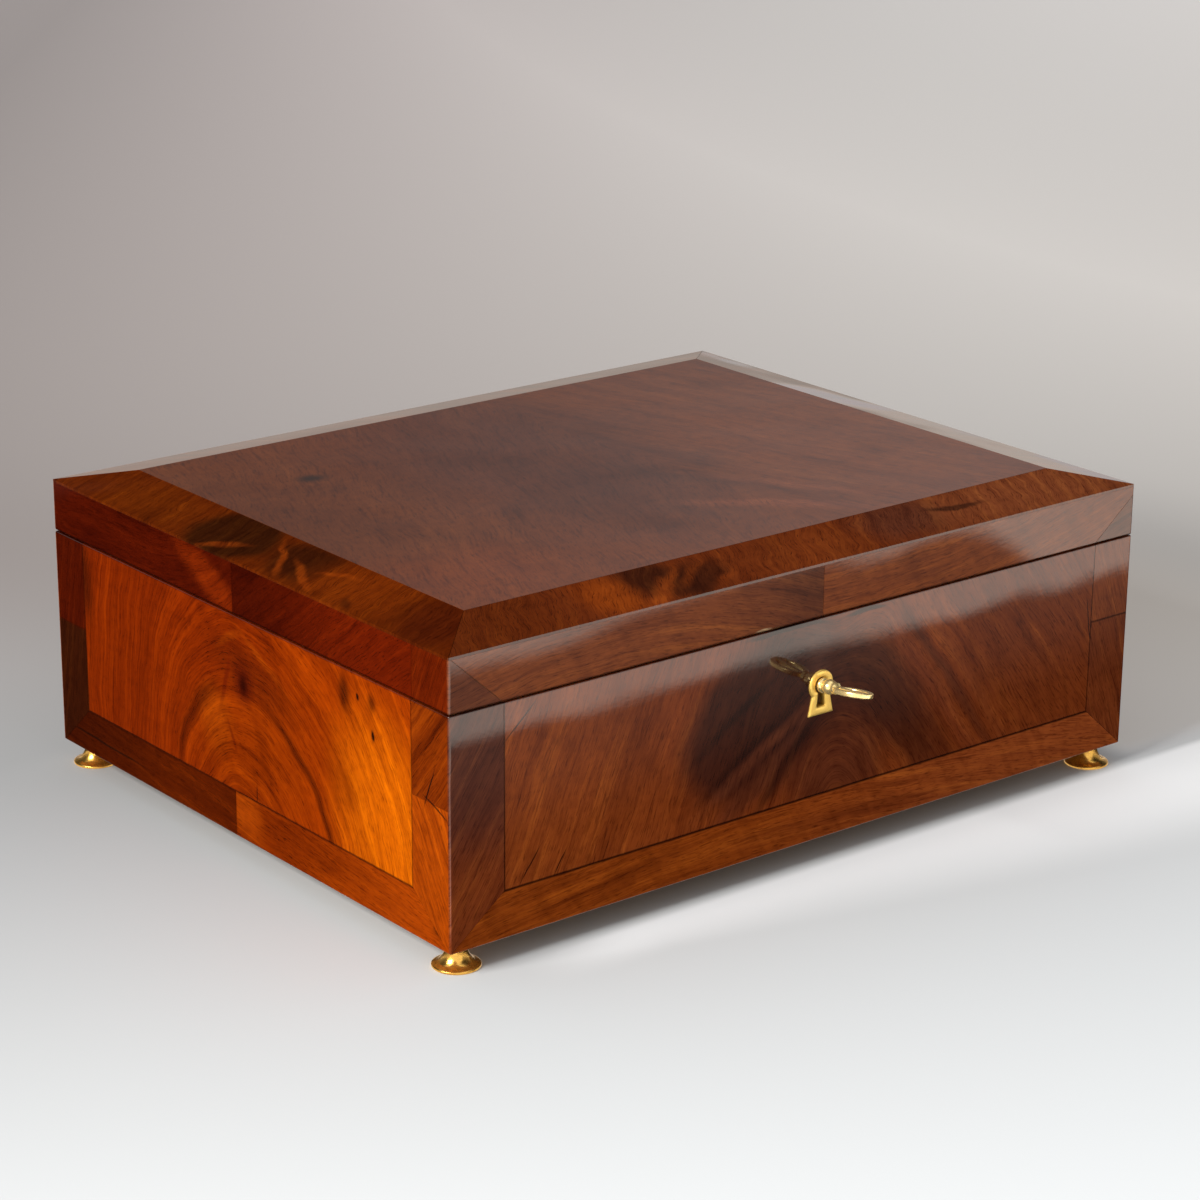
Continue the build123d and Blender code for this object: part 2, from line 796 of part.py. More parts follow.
back_blank = block(core_width, board, floor_level, rim, 0, back_board_y)
back_board = cut_by(back_blank, body_stop, body_hinge_recess, body_leaf_holes)
save(back_board, "back_board")

for side, middle in (("left", -side_board_x), ("right", side_board_x)):
    side_blank = block(board, inside_depth, floor_level, rim, middle)
    save(cut_by(side_blank), f"{side}_board")


# Turned brass foot: a flat flange, a hollow curve up to the neck, a collar and a shank
with BuildPart() as foot:
    with BuildSketch(Plane.XZ):
        with BuildLine():
            Polyline(
                (0, foot_height + foot_shank),
                (0, 0),
                (foot_flange_radius - foot_rim / 3, 0),
                (foot_flange_radius, foot_rim / 3),
                (foot_flange_radius, foot_rim),
            )
            Spline(
                (foot_flange_radius, foot_rim),
                (0.62 * foot_flange_radius, 0.33 * foot_height),
                (foot_neck_radius, foot_height - 1.4 * foot_collar),
                tangents=((-1, 0.12), (-0.02, 1)),
            )
            Polyline(
                (foot_neck_radius, foot_height - 1.4 * foot_collar),
                (foot_neck_radius, foot_height - foot_collar),
                (foot_collar_radius, foot_height - 0.7 * foot_collar),
                (foot_collar_radius, foot_height),
                (foot_shank_radius, foot_height),
                (foot_shank_radius, foot_height + foot_shank),
                (0, foot_height + foot_shank),
            )
        make_face()
    revolve(axis=Axis.Z)

for corner, place in foot_places.items():
    with BuildPart() as placed_foot:
        with Locations(place):
            add(foot.part)
    save(placed_foot, f"foot_{corner}")


# Sheets of veneer with the given outlines on an outer face, lying under that face
def sheets(plane, *outlines):
    with BuildPart() as veneer_sheets:
        for outline in outlines:
            with BuildSketch(plane):
                with BuildLine():
                    Polyline(*outline, close=True)
                make_face()
            extrude(amount=-veneer)
    return veneer_sheets.part


def strip(left, right, low, high):
    return ((left, low), (right, low), (right, high), (left, high))


# Thin gaps along the joints between neighbouring sheets
def glue_lines(plane, *lines):
    with BuildPart() as gaps:
        for start, end in lines:
            with BuildSketch(plane):
                with BuildLine():
                    Line(start, end)
                trace(line_width=glue_line)
            extrude(amount=2 * veneer, both=True)
    return gaps.part


def shaped(piece, outer, *cutters):
    with BuildPart() as fitted:
        add(piece)
        add(outer, mode=Mode.INTERSECT)
        for cutter in cutters:
            add(cutter, mode=Mode.SUBTRACT)
    return fitted


# A face's outlines: bands to the left and right, a bottom band mitred into them, and the panel
def banded_face(half, left_edge, right_edge, low_edge):
    return {
        "left": ((-half, 0), (left_edge, low_edge), (left_edge, body_height), (-half, body_height)),
        "right": ((half, 0), (half, body_height), (right_edge, body_height), (right_edge, low_edge)),
        "bottom": ((-half, 0), (half, 0), (right_edge, low_edge), (left_edge, low_edge)),
        "panel": strip(left_edge, right_edge, low_edge, body_height),
        "joints": (
            ((-half, 0), (left_edge, low_edge)),
            ((half, 0), (right_edge, low_edge)),
            ((left_edge, low_edge), (right_edge, low_edge)),
            ((left_edge, low_edge), (left_edge, body_height)),
            ((right_edge, low_edge), (right_edge, body_height)),
        ),
    }


case_half = case_depth / 2
side_half = core_depth / 2
front_left_edge = -side_x + front_left_band
front_right_edge = side_x - front_right_band
left_back_edge = -case_half + side_back_band
left_front_edge = case_half - side_front_band
front = banded_face(side_x, front_left_edge, front_right_edge, front_bottom_band)
left = banded_face(side_half, left_back_edge, left_front_edge, side_bottom_band)
right = banded_face(side_half, -left_front_edge, -left_back_edge, side_bottom_band)

# Front: the right band is made up of two lengths
front_gaps = glue_lines(
    body_faces["front"],
    *front["joints"],
    ((front_right_edge, front_right_joint), (side_x, front_right_joint)),
)
front_sheets = {
    "front_left_band": "left",
    "front_right_band": "right",
    "front_bottom_band": "bottom",
    "front_panel_veneer": "panel",
}
for name, part_of_face in front_sheets.items():
    blank = sheets(body_faces["front"], front[part_of_face])
    sheet = shaped(blank, body_outer.part, front_gaps, escutcheon_seat.part)
    save(sheet, name)

# Left side: both upright bands and the bottom band are made up of two lengths
left_gaps = glue_lines(
    body_faces["left"],
    *left["joints"],
    ((-side_half, left_back_joint), (left_back_edge, left_back_joint)),
    ((left_front_edge, left_front_joint), (side_half, left_front_joint)),
    ((-left_bottom_joint, 0), (-left_bottom_joint, side_bottom_band)),
)
left_sheets = {
    "left_back_band": "left",
    "left_front_band": "right",
    "left_bottom_band": "bottom",
    "left_panel_veneer": "panel",
}
for name, part_of_face in left_sheets.items():
    blank = sheets(body_faces["left"], left[part_of_face])
    save(shaped(blank, body_outer.part, left_gaps, body_stop), name)

right_gaps = glue_lines(body_faces["right"], *right["joints"])
right_sheets = {
    "right_front_band": "left",
    "right_back_band": "right",
    "right_bottom_band": "bottom",
    "right_panel_veneer": "panel",
}
for name, part_of_face in right_sheets.items():
    blank = sheets(body_faces["right"], right[part_of_face])
    save(shaped(blank, body_outer.part, right_gaps, body_stop), name)

back_blank = sheets(body_faces["back"], strip(-side_x, side_x, 0, body_height))
back_veneer = shaped(back_blank, body_outer.part, body_stop, body_hinge_recess)
save(back_veneer, "back_veneer")

# Lid core: four rails standing on edge, and a top board laid over them, canted on all sides
lid_blocks = {
    "lid_top_board": block(core_width, core_depth, lid_board_bottom, lid_top),
    "lid_front_rail": block(
        core_width, board, lid_bottom, lid_board_bottom, 0, front_board_y
    ),
    "lid_back_rail": block(core_width, board, lid_bottom, lid_board_bottom, 0, back_board_y),
    "lid_left_rail": block(board, inside_depth, lid_bottom, lid_board_bottom, -side_board_x),
    "lid_right_rail": block(board, inside_depth, lid_bottom, lid_board_bottom, side_board_x),
}
for name, blank in lid_blocks.items():
    cutters = {
        "lid_front_rail": (link_block.part, link_screw_holes),
        "lid_back_rail": (lid_stop, lid_hinge_recess, lid_leaf_holes),
    }.get(name, ())
    save(shaped(blank, lid_under.part, *cutters), name)

# Lid's upright veneers: the front is made up of two lengths and two corner patches, the left of three
lid_front_gaps = glue_lines(
    lid_faces["front"],
    ((lid_front_joint, 0), (lid_front_joint, lid_edge_height)),
    ((side_x - lid_patch_width, 0), (side_x, lid_patch_height)),
    ((-side_x + lid_mitre_width, 0), (-side_x, lid_edge_height)),
)
lid_left_gaps = glue_lines(
    lid_faces["left"],
    ((-lid_left_joint, 0), (-lid_left_joint, lid_edge_height)),
    ((case_half - lid_corner_piece, 0), (case_half - lid_corner_piece, lid_edge_height)),
)
lid_sheets = {
    "lid_front_veneer_left": (
        "front",
        strip(-side_x, lid_front_joint, 0, lid_edge_height),
        lid_front_gaps,
    ),
    "lid_front_veneer_right": (
        "front",
        strip(lid_front_joint, side_x, 0, lid_edge_height),
        lid_front_gaps,
    ),
    "lid_left_veneer": ("left", strip(-side_half, side_half, 0, lid_edge_height), lid_left_gaps),
    "lid_right_veneer": ("right", strip(-side_half, side_half, 0, lid_edge_height), lid_stop),
    "lid_back_veneer": ("back", strip(-side_x, side_x, 0, lid_edge_height), lid_hinge_recess),
}
with BuildPart() as lid_wrap:
    add(lid_outer.part)
    add(lid_under.part, mode=Mode.INTERSECT)
for name, (face, outline, cutter) in lid_sheets.items():
    blank = sheets(lid_faces[face], outline)
    save(shaped(blank, lid_wrap.part, cutter, lid_stop), name)

# Canted veneers, mitred at the lid's corners, round the flat panel
panel_x = side_x - bevel_width
panel_y = case_half - bevel_width
lid_plan = Plane(origin=(0, middle_y, lid_top))
bevel_outlines = {
    "front": (
        (-side_x, -case_half), (side_x, -case_half), (panel_x, -panel_y), (-panel_x, -panel_y)
    ),
    "back": ((-side_x, case_half), (-panel_x, panel_y), (panel_x, panel_y), (side_x, case_half)),
    "left": (
        (-side_x, -case_half), (-panel_x, -panel_y), (-panel_x, panel_y), (-side_x, case_half)
    ),
    "right": ((side_x, -case_half), (side_x, case_half), (panel_x, panel_y), (panel_x, -panel_y)),
}
with BuildPart() as top_gaps:
    for outline in bevel_outlines.values():
        with BuildSketch(lid_plan):
            with BuildLine():
                Polyline(*outline, close=True)
            trace(line_width=glue_line)
        extrude(amount=-2 * bevel_rise)
with BuildPart() as top_skin:
    add(lid_outer.part)
    add(lid_under.part, mode=Mode.SUBTRACT)
for side, outline in bevel_outlines.items():
    with BuildPart() as bevel:
        with BuildSketch(lid_plan):
            with BuildLine():
                Polyline(*outline, close=True)
            make_face()
        extrude(amount=-bevel_rise - 2 * bevel_skin)
        add(top_skin.part, mode=Mode.INTERSECT)
        add(top_gaps.part, mode=Mode.SUBTRACT)
    save(bevel, f"bevel_{side}")
with BuildPart() as lid_panel_veneer:
    with BuildSketch(lid_plan):
        Rectangle(2 * panel_x, 2 * panel_y)
    extrude(amount=-veneer)
    add(top_gaps.part, mode=Mode.SUBTRACT)
save(lid_panel_veneer, "lid_panel_veneer")

# Linings: the floor first, then the front and the back, then the sides between them
lining_low = floor_level + lining
lining_high = rim - lining_drop
lining_front_y = front_y + wall + lining / 2
lining_back_y = back_y - wall - lining / 2
lining_side_x = side_x - wall - lining / 2
plate_room = block(
    2 * (plate_half_width + lining_room),
    2 * wall,
    backplate_bottom - lining_room,
    lid_bottom,
    key_x,
    lining_front_y,
)
front_lining = block(inside_width, lining, lining_low, lining_high, 0, lining_front_y)
side_length = inside_depth - 2 * lining
linings = {
    "floor_lining": cut_by(block(inside_width, inside_depth, floor_level, lining_low)),
    "front_lining": cut_by(front_lining, plate_room),
    "back_lining": cut_by(
        block(inside_width, lining, lining_low, lining_high, 0, lining_back_y)
    ),
    "left_lining": cut_by(
        block(lining, side_length, lining_low, lining_high, -lining_side_x)
    ),
    "right_lining": cut_by(
        block(lining, side_length, lining_low, lining_high, lining_side_x)
    ),
    "lid_lining": cut_by(
        block(
            inside_width - 2 * lining_room,
            inside_depth - 2 * lining_room,
            lid_board_bottom - lining,
            lid_board_bottom,
        )
    ),
}
for name, piece in linings.items():
    save(piece, name)
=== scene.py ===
from math import atan2, cos, pi, radians, sin

import bmesh
import bpy
from mathutils import Matrix, Vector


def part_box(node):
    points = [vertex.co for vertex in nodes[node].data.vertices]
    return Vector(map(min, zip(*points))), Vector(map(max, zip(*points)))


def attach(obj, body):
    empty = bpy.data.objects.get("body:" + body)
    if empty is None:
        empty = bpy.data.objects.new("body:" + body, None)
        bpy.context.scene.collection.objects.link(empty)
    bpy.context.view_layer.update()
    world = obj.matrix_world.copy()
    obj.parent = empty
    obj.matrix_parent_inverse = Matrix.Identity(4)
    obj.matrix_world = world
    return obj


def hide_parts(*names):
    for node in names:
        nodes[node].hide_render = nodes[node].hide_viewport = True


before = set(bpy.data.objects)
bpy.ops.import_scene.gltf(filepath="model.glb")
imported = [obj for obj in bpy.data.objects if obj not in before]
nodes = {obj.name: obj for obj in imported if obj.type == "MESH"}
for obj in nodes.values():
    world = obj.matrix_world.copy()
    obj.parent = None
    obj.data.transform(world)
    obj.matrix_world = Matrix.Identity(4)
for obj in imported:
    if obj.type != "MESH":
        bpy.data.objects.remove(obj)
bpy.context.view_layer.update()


# ---- Carcase boards ------------------------------------------------------------------------
# Plain softwood boards, glued up into an open box. They show as bare wood along the rim under
# the lid and on the underside. The straight grain runs along each board.

def paint(red, green, blue):
    """A colour as it is seen, 0 to 255 a channel, as the linear colour that a shader takes."""
    seen = (c / 255 for c in (red, green, blue))
    return tuple(((c + 0.055) / 1.055) ** 2.4 if c > 0.04 else c / 12.92 for c in seen) + (1.0,)


class Grain:
    """A number that changes from place to place in the wood. Sums and products make new ones."""

    def __init__(self, finish, socket):
        self.finish = finish
        self.socket = socket

    def worked(self, operation, *others):
        node = self.finish.tree.nodes.new("ShaderNodeMath")
        node.operation = operation
        for socket, value in zip(node.inputs, (self, *others)):
            self.finish.feed(socket, value)
        return Grain(self.finish, node.outputs[0])

    def __add__(self, other):
        return self.worked("ADD", other)

    def __sub__(self, other):
        return self.worked("SUBTRACT", other)

    def __mul__(self, other):
        return self.worked("MULTIPLY", other)

    def __truediv__(self, other):
        return self.worked("DIVIDE", other)

    def __rsub__(self, other):
        return self.worked("MULTIPLY_ADD", -1, other)

    def __abs__(self):
        return self.worked("ABSOLUTE")

    def power(self, other):
        return self.worked("POWER", other)

    def most(self, other):
        return self.worked("MAXIMUM", other)

    def least(self, other):
        return self.worked("MINIMUM", other)

    def rise(self, low, high, start=0.0, end=1.0):
        """Goes smoothly from start to end while the number goes from low to high."""
        node = self.finish.tree.nodes.new("ShaderNodeMapRange")
        node.interpolation_type = "SMOOTHSTEP"
        for socket, value in zip(node.inputs, (self, low, high, start, end)):
            self.finish.feed(socket, value)
        return Grain(self.finish, node.outputs[0])

    __radd__ = __add__


class Finish:
    """One finish, built up from grains and colours on a Principled surface."""

    def __init__(self, name, roughness, **sockets):
        self.material = bpy.data.materials.new(name)
        self.material.use_nodes = True
        self.tree = self.material.node_tree
        self.surface = self.tree.nodes["Principled BSDF"]
        self.feed(self.surface.inputs["Roughness"], roughness)
        for socket, value in sockets.items():
            self.surface.inputs[socket.replace("_", " ")].default_value = value
        millimetres = 1000
        place = self.tree.nodes.new("ShaderNodeTexCoord")
        scaled = self.tree.nodes.new("ShaderNodeVectorMath")
        scaled.operation = "SCALE"
        scaled.inputs["Scale"].default_value = millimetres
        self.tree.links.new(place.outputs["Object"], scaled.inputs[0])
        split = self.tree.nodes.new("ShaderNodeSeparateXYZ")
        self.tree.links.new(scaled.outputs[0], split.inputs[0])
        self.x, self.y, self.z = (Grain(self, socket) for socket in split.outputs)

    def feed(self, socket, value):
        """Links a grain or a colour to a socket, or sets a plain number there."""
        if isinstance(value, Grain):
            value = value.socket
        if isinstance(value, bpy.types.NodeSocket):
            self.tree.links.new(value, socket)
        else:
            socket.default_value = value

    def cloud(self, along, across, depth, size, detail=3.0, crisp=0.5):
        """Soft blotches from 0 to 1, of about the given sizes in millimetres."""
        joined = self.tree.nodes.new("ShaderNodeCombineXYZ")
        for socket, value, width in zip(joined.inputs, (along, across, depth), size):
            self.feed(socket, value / width)
        noise = self.tree.nodes.new("ShaderNodeTexNoise")
        noise.inputs["Scale"].default_value = 1.0
        noise.inputs["Detail"].default_value = detail
        noise.inputs["Roughness"].default_value = crisp
        self.tree.links.new(joined.outputs[0], noise.inputs["Vector"])
        return Grain(self, noise.outputs["Fac"])

    def mix(self, amount, first, second, kind="MIX"):
        """The colour that goes from the first to the second as the amount goes from 0 to 1."""
        node = self.tree.nodes.new("ShaderNodeMix")
        node.data_type = "RGBA"
        node.blend_type = kind
        sockets = (node.inputs[0], node.inputs[6], node.inputs[7])
        for socket, value in zip(sockets, (amount, first, second)):
            self.feed(socket, value)
        return node.outputs[2]

    def colour(self, socket):
        self.feed(self.surface.inputs["Base Color"], socket)

    def relief(self, height, depth, over="Normal"):
        """Bumps of the given depth in metres; the lacquer's own relief goes over Coat Normal."""
        node = self.tree.nodes.new("ShaderNodeBump")
        node.inputs["Distance"].default_value = depth
        self.feed(node.inputs["Height"], height)
        self.tree.links.new(node.outputs[0], self.surface.inputs[over])

    def on(self, *names):
        """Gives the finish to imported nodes."""
        for name in names:
            piece = nodes[name]
            piece.data.materials.clear()
            piece.data.materials.append(self.material)


def softwood(name, along, across, through, seed):
    """Pine whose fibres run along one axis, with yearly rings across it."""
    pine = Finish(name, 0.62, Specular_IOR_Level=0.3)
    length, width, depth = (getattr(pine, axis) for axis in (along, across, through))
    sway = pine.cloud(length, width, depth, (160, 40, 40), 1) * 14
    rings = pine.cloud(length, width + sway, depth + seed, (700, 3.4, 9), 2)
    fibres = pine.cloud(length, width, depth + seed, (40, 0.5, 0.5), 2)
    stained = pine.cloud(length, width, depth + seed, (70, 50, 50), 3)
    wood = pine.mix(rings.rise(0.42, 0.62), paint(196, 156, 108), paint(158, 110, 66))
    wood = pine.mix(fibres.rise(0.35, 0.75) * 0.35, wood, paint(120, 82, 48))
    wood = pine.mix(stained.rise(0.5, 0.8) * 0.4, wood, paint(104, 70, 44))
    pine.colour(wood)
    pine.relief(fibres, 0.00012)
    return pine


softwood("softwood_across", "x", "y", "z", 0).on(
    "front_board", "back_board", "bottom_board", "lid_top_board", "lid_front_rail", "lid_back_rail"
)
softwood("softwood_deep", "y", "x", "z", 31).on(
    "left_board", "right_board", "lid_left_rail", "lid_right_rail"
)


# ---- Veneers on the case -------------------------------------------------------------------
# Sawn mahogany about 1 mm thick, glued over the boards and French polished. The front and side
# panels are crotch and swirl figure; straight-grained bands with mitred corners frame them.

seam_height = 99.7


class Veneer(Finish):
    """Polished mahogany on one face: u runs along the face and w across it, in millimetres."""

    def __init__(self, name, face, seed, sway=3.0, size=30.0):
        super().__init__(
            name, 0.45, Specular_IOR_Level=0.0, Coat_Weight=0.9, Coat_Roughness=0.045, Coat_IOR=1.5
        )
        axes = {"x": self.x, "y": self.y, "z": self.z}
        self.u, self.w = (axes[axis] * way + start for axis, way, start in face)
        self.seed = seed
        push = self.cloud(self.u, self.w, seed, (size, size, 1), 2) - 0.5
        pull = self.cloud(self.u, self.w, seed + 40, (size, size, 1), 2) - 0.5
        self.du = self.u + push * (2 * sway)
        self.dw = self.w + pull * (2 * sway)
        joined = self.tree.nodes.new("ShaderNodeCombineXYZ")
        self.feed(joined.inputs[0], self.du)
        self.feed(joined.inputs[1], self.dw)
        self.place = joined.outputs[0]

    def spot(self, u, w, long, wide, turn=0.0, soft=0.45):
        """Where an oval of these half sizes lies, from 0 to 1. It is turned by some degrees."""
        mapping = self.tree.nodes.new("ShaderNodeMapping")
        mapping.vector_type = "TEXTURE"
        mapping.inputs["Location"].default_value = (u, w, 0)
        mapping.inputs["Rotation"].default_value = (0, 0, radians(turn))
        mapping.inputs["Scale"].default_value = (long, wide, 1)
        self.tree.links.new(self.place, mapping.inputs["Vector"])
        length = self.tree.nodes.new("ShaderNodeVectorMath")
        length.operation = "LENGTH"
        self.tree.links.new(mapping.outputs[0], length.inputs[0])
        return Grain(self, length.outputs["Value"]).rise(1 - soft, 1 + soft, 1.0, 0.0)

    def stripe(self, grain, low, high, soft):
        """Where the grain number is between two values."""
        return grain.rise(low - soft, low + soft) * grain.rise(high - soft, high + soft, 1.0, 0.0)

    def timber(self, grain, tone, streak=1.0, length=60.0, fine=1.3, curl=0.0):
        """The wood's ground colour. The grain's level lines are the way that its fibres run."""
        self.grain, self.curl = grain, curl
        self.streak, self.length, self.fine = streak, length, fine
        self.wood = paint(*tone)
        return self

    def stain(self, colour, amount, *masks):
        """Lays a colour over the wood where all the masks lie."""
        mask = masks[0]
        for other in masks[1:]:
            mask = mask * other
        self.wood = self.mix(mask * amount, self.wood, paint(*colour))

    def spots(self, *ovals):
        """Stained ovals: a colour, an amount, a middle, two half sizes, a turn and a softness."""
        for colour, amount, *oval in ovals:
            self.stain(colour, amount, self.spot(*oval))

    def cracks(self, *lines, amount=0.8):
        """Fine dark cracks: each has a middle, a half length, a half width and a turn."""
        for line in lines:
            self.stain((18, 8, 5), amount, self.spot(*line, 0.4))

    def joint(self, distance, amount=0.75):
        """The dark glue line where the distance from a joint falls to nothing."""
        self.stain((20, 8, 5), amount, distance.rise(0.25, 0.75, 1.0, 0.0))

    def framed(self, start, end, bottom, amount=0.75):
        """The glue lines between a panel's two ends and over its bottom band."""
        self.joint((self.u - start).least(end - self.u).least(self.w - bottom), amount)

    def fibres(self, reach, width, seed, detail=3.0):
        """Streaks that follow the grain, of about this length and width, from 0 to 1."""
        across = self.grain + seed * 9.7
        return self.cloud(self.u, self.w, across, (reach, reach, width), detail, 0.6)

    def deepened(self, amount, red, green, blue):
        """Multiplies the wood's colour, which darkens or lightens it."""
        self.wood = self.mix(amount, self.wood, (red, green, blue, 1.0), "MULTIPLY")

    def polish(self, ripple=1.0, lean=None):
        """Streaks, hairs and pores along the grain, painted shade and dirt at the lid seam, then
        French polish over faint hills.
        """
        broad = self.fibres(self.length * 2, self.fine * 9, self.seed)
        bands = self.fibres(self.length * 1.3, self.fine * 3, self.seed + 1)
        lines = self.fibres(self.length * 0.6, self.fine, self.seed + 2)
        hairs = self.fibres(self.length * 0.2, self.fine * 0.4, self.seed + 3, 2)
        pores = self.fibres(4.5, 0.4, self.seed + 4, 1)
        mottle = self.cloud(self.u, self.w, self.seed, (7, 5, 1), 4, 0.65)
        self.deepened(broad.rise(0.5, 0.28) * (0.8 * self.streak), 0.5, 0.4, 0.5)
        self.deepened(bands.rise(0.48, 0.72) * (0.9 * self.streak), 1.7, 2.0, 1.6)
        self.deepened(bands.rise(0.46, 0.28) * (0.8 * self.streak), 0.55, 0.46, 0.5)
        self.deepened(lines.rise(0.5, 0.72) * (0.8 * self.streak), 0.5, 0.42, 0.5)
        self.deepened(lines.rise(0.46, 0.24) * (0.5 * self.streak), 1.5, 1.6, 1.4)
        self.deepened(hairs.rise(0.5, 0.74) * 0.7, 0.55, 0.46, 0.5)
        self.deepened(hairs.rise(0.46, 0.22) * 0.4, 1.4, 1.5, 1.4)
        self.deepened(mottle.rise(0.42, 0.66) * 0.35, 0.66, 0.58, 0.6)
        self.deepened(pores.rise(0.56, 0.7) * 0.6, 0.3, 0.24, 0.3)
        if self.curl:
            along = self.u + self.grain * 0.6
            curls = self.cloud(along, self.grain, self.seed, (self.curl, 60, 1), 2)
            self.deepened(curls.rise(0.45, 0.7) * 0.4, 0.6, 0.52, 0.5)
        # Painted shade of the gap at the lid seam, and dirt there: the wood darkens within about a
        # millimetre of it
        seam_shade = abs(self.z - seam_height).rise(0.4, 1.3, 0.8, 0.0)
        self.deepened(seam_shade, 0.2, 0.14, 0.14)
        worn = self.cloud(self.u, self.w, self.seed + 3, (38, 30, 1), 4)
        self.deepened(worn.rise(0.5, 0.85) * 0.6, 0.5, 0.42, 0.5)
        self.colour(self.wood)
        self.feed(self.surface.inputs["Roughness"], worn.rise(0.3, 0.7, 0.42, 0.58))
        self.relief(pores, 0.00006)
        hills = self.cloud(self.u, self.w, self.seed + 8, (62, 44, 1), 1)
        mist = self.cloud(self.u, self.w, self.seed, (1.8, 1.8, 1), 3)
        height = hills * (0.7 * ripple) + mist * 0.006
        if lean is not None:
            height = height + lean
        self.relief(height, 0.001, "Coat Normal")
        return self


# Each face is measured from its bottom middle: u to the right, seen from outside, and w upwards
foot_height = 9.5
case_middle = 12.729
bottom_joint = 18.5
front_face = (("x", 1, 0), ("z", 1, -foot_height))
left_face = (("y", -1, case_middle), ("z", 1, -foot_height))
right_face = (("y", 1, -case_middle), ("z", 1, -foot_height))
back_face = (("x", -1, 0), ("z", 1, -foot_height))
heart = (62, 28, 19)
deep_heart = (38, 16, 12)

# Crotch figure: a dark heart, with leaning stripes that spread from it on both sides
front = Veneer("front_panel_crotch", front_face, 3)
lean = front.du - 10
tent = (lean * lean + 220).power(0.5) * lean.rise(-15, 15, 0.93, 0.81)
arches = (front.dw - 55) * lean.rise(-30, 0, 0.36, 1.0) * lean.rise(0, 30, 1.0, 0.58) + tent
front.timber(arches, (134, 60, 23), 0.55, 70, 1.6, 9)
front.spots(
    ((152, 72, 26), 0.45, -118, 45, 45, 50, 0, 0.6),
    ((112, 50, 22), 0.5, 118, 55, 46, 50, 0, 0.5),
    (heart, 0.9, -27, 57, 40, 29, 28, 0.25),
    (heart, 0.72, 10, 50, 36, 34, 0, 0.45),
)
dark_zone = front.spot(42, 46, 42, 28, -50, 0.5)
front.stain((72, 33, 20), 0.62, front.stripe(arches, 12, 36, 4), dark_zone)
under_key = front.spot(20, 28, 32, 12, 0, 0.5)
front.stain((104, 50, 28), 0.6, front.stripe(arches, -24, 4, 5), under_key)
front.spots(
    ((100, 48, 27), 0.6, -32, 28, 20, 5, 32, 0.6),
    (deep_heart, 0.6, -39, 60, 21, 1.8, 34, 0.8),
    (deep_heart, 0.5, -30, 46, 28, 2.2, 31, 0.8),
    ((108, 54, 32), 0.75, -29, 41, 28, 2.4, 30, 0.8),
    ((96, 48, 31), 0.6, -8, 46, 20, 2.2, 44, 0.8),
    (deep_heart, 0.75, -14, 34, 21, 2.4, 46, 0.8),
    ((112, 54, 30), 0.6, 8, 31, 22, 8, 4, 0.7),
    (deep_heart, 0.3, 46, 40, 24, 6, -55, 0.7),
    ((140, 66, 26), 0.6, -57, 23, 9, 4, 30, 0.7),
)
for colour, amount, low, high, zone in (
    ((144, 70, 34), 0.7, 38, 44, (58, 54, 46, 24, -55, 0.4)),
    ((84, 40, 24), 0.6, 46, 50, (68, 52, 46, 20, -55, 0.5)),
    ((142, 70, 32), 0.5, 53, 57, (80, 52, 40, 20, -55, 0.5)),
):
    front.stain(colour, amount, front.stripe(arches, low, high, 2), front.spot(*zone))
front.spots(
    ((104, 62, 48), 0.5, 1, 80, 14, 5, 90, 0.7),
    (deep_heart, 0.8, -15, 88.6, 20, 1.1, 0, 0.3),
    (deep_heart, 0.8, 25, 88.4, 10, 1.0, 0, 0.3),
)
front.cracks(
    (-135.5, 26, 7, 0.35, 54),
    (-122, 23, 4.5, 0.3, 62),
    (-140, 82, 8, 0.35, 42),
    (148.5, 58, 10, 0.3, -80),
)
front.framed(-147.5, 150.3, bottom_joint)
front.polish(0.45).on("front_panel_veneer")


gentle = (2.0, 34.0)


def band(name, face, seed, tone, streak, slope=None, lean=0.0, curl=0.0, length=60.0, sway=gentle):
    """Plain-figured veneer. Its grain rises along the face by the slope, or stands across it."""
    plain = Veneer(name, face, seed, *sway)
    if slope is None:
        grain = plain.du - plain.dw * lean
    else:
        grain = plain.dw - plain.du * slope
    return plain.timber(grain, tone, streak, length, 1.3, curl)


strip = band("front_left_band", front_face, 5, (108, 50, 28), 0.6, lean=0.62)
strip.spots(
    ((138, 62, 22), 0.5, -160, 14, 20, 26, 0, 0.6),
    ((76, 37, 26), 0.5, -160, 68, 22, 30, 0, 0.6),
)
strip.polish(0.45).on("front_left_band")
strip = band("front_right_band", front_face, 6, (122, 56, 25), 0.7, lean=-0.35)
strip.stain((142, 70, 34), 0.45, strip.w.rise(56.6, 57.4))
strip.stain((96, 42, 20), 0.4, strip.spot(160, 42, 16, 14, 0, 0.6))
strip.joint(abs(strip.w - 57), 0.5)
strip.polish(0.45).on("front_right_band")
strip = Veneer("front_bottom_band", front_face, 7, *gentle)
away = strip.du + 30
strip.timber(strip.dw + away * away * 0.0006, (146, 66, 18), 0.7, curl=7)
strip.stain((120, 52, 20), 0.4, strip.spot(20, 5, 60, 4, -3, 0.8))
strip.stain((166, 84, 42), 0.6, strip.u.rise(-60, 140))
strip.joint(bottom_joint - strip.w)
strip.polish().on("front_bottom_band")

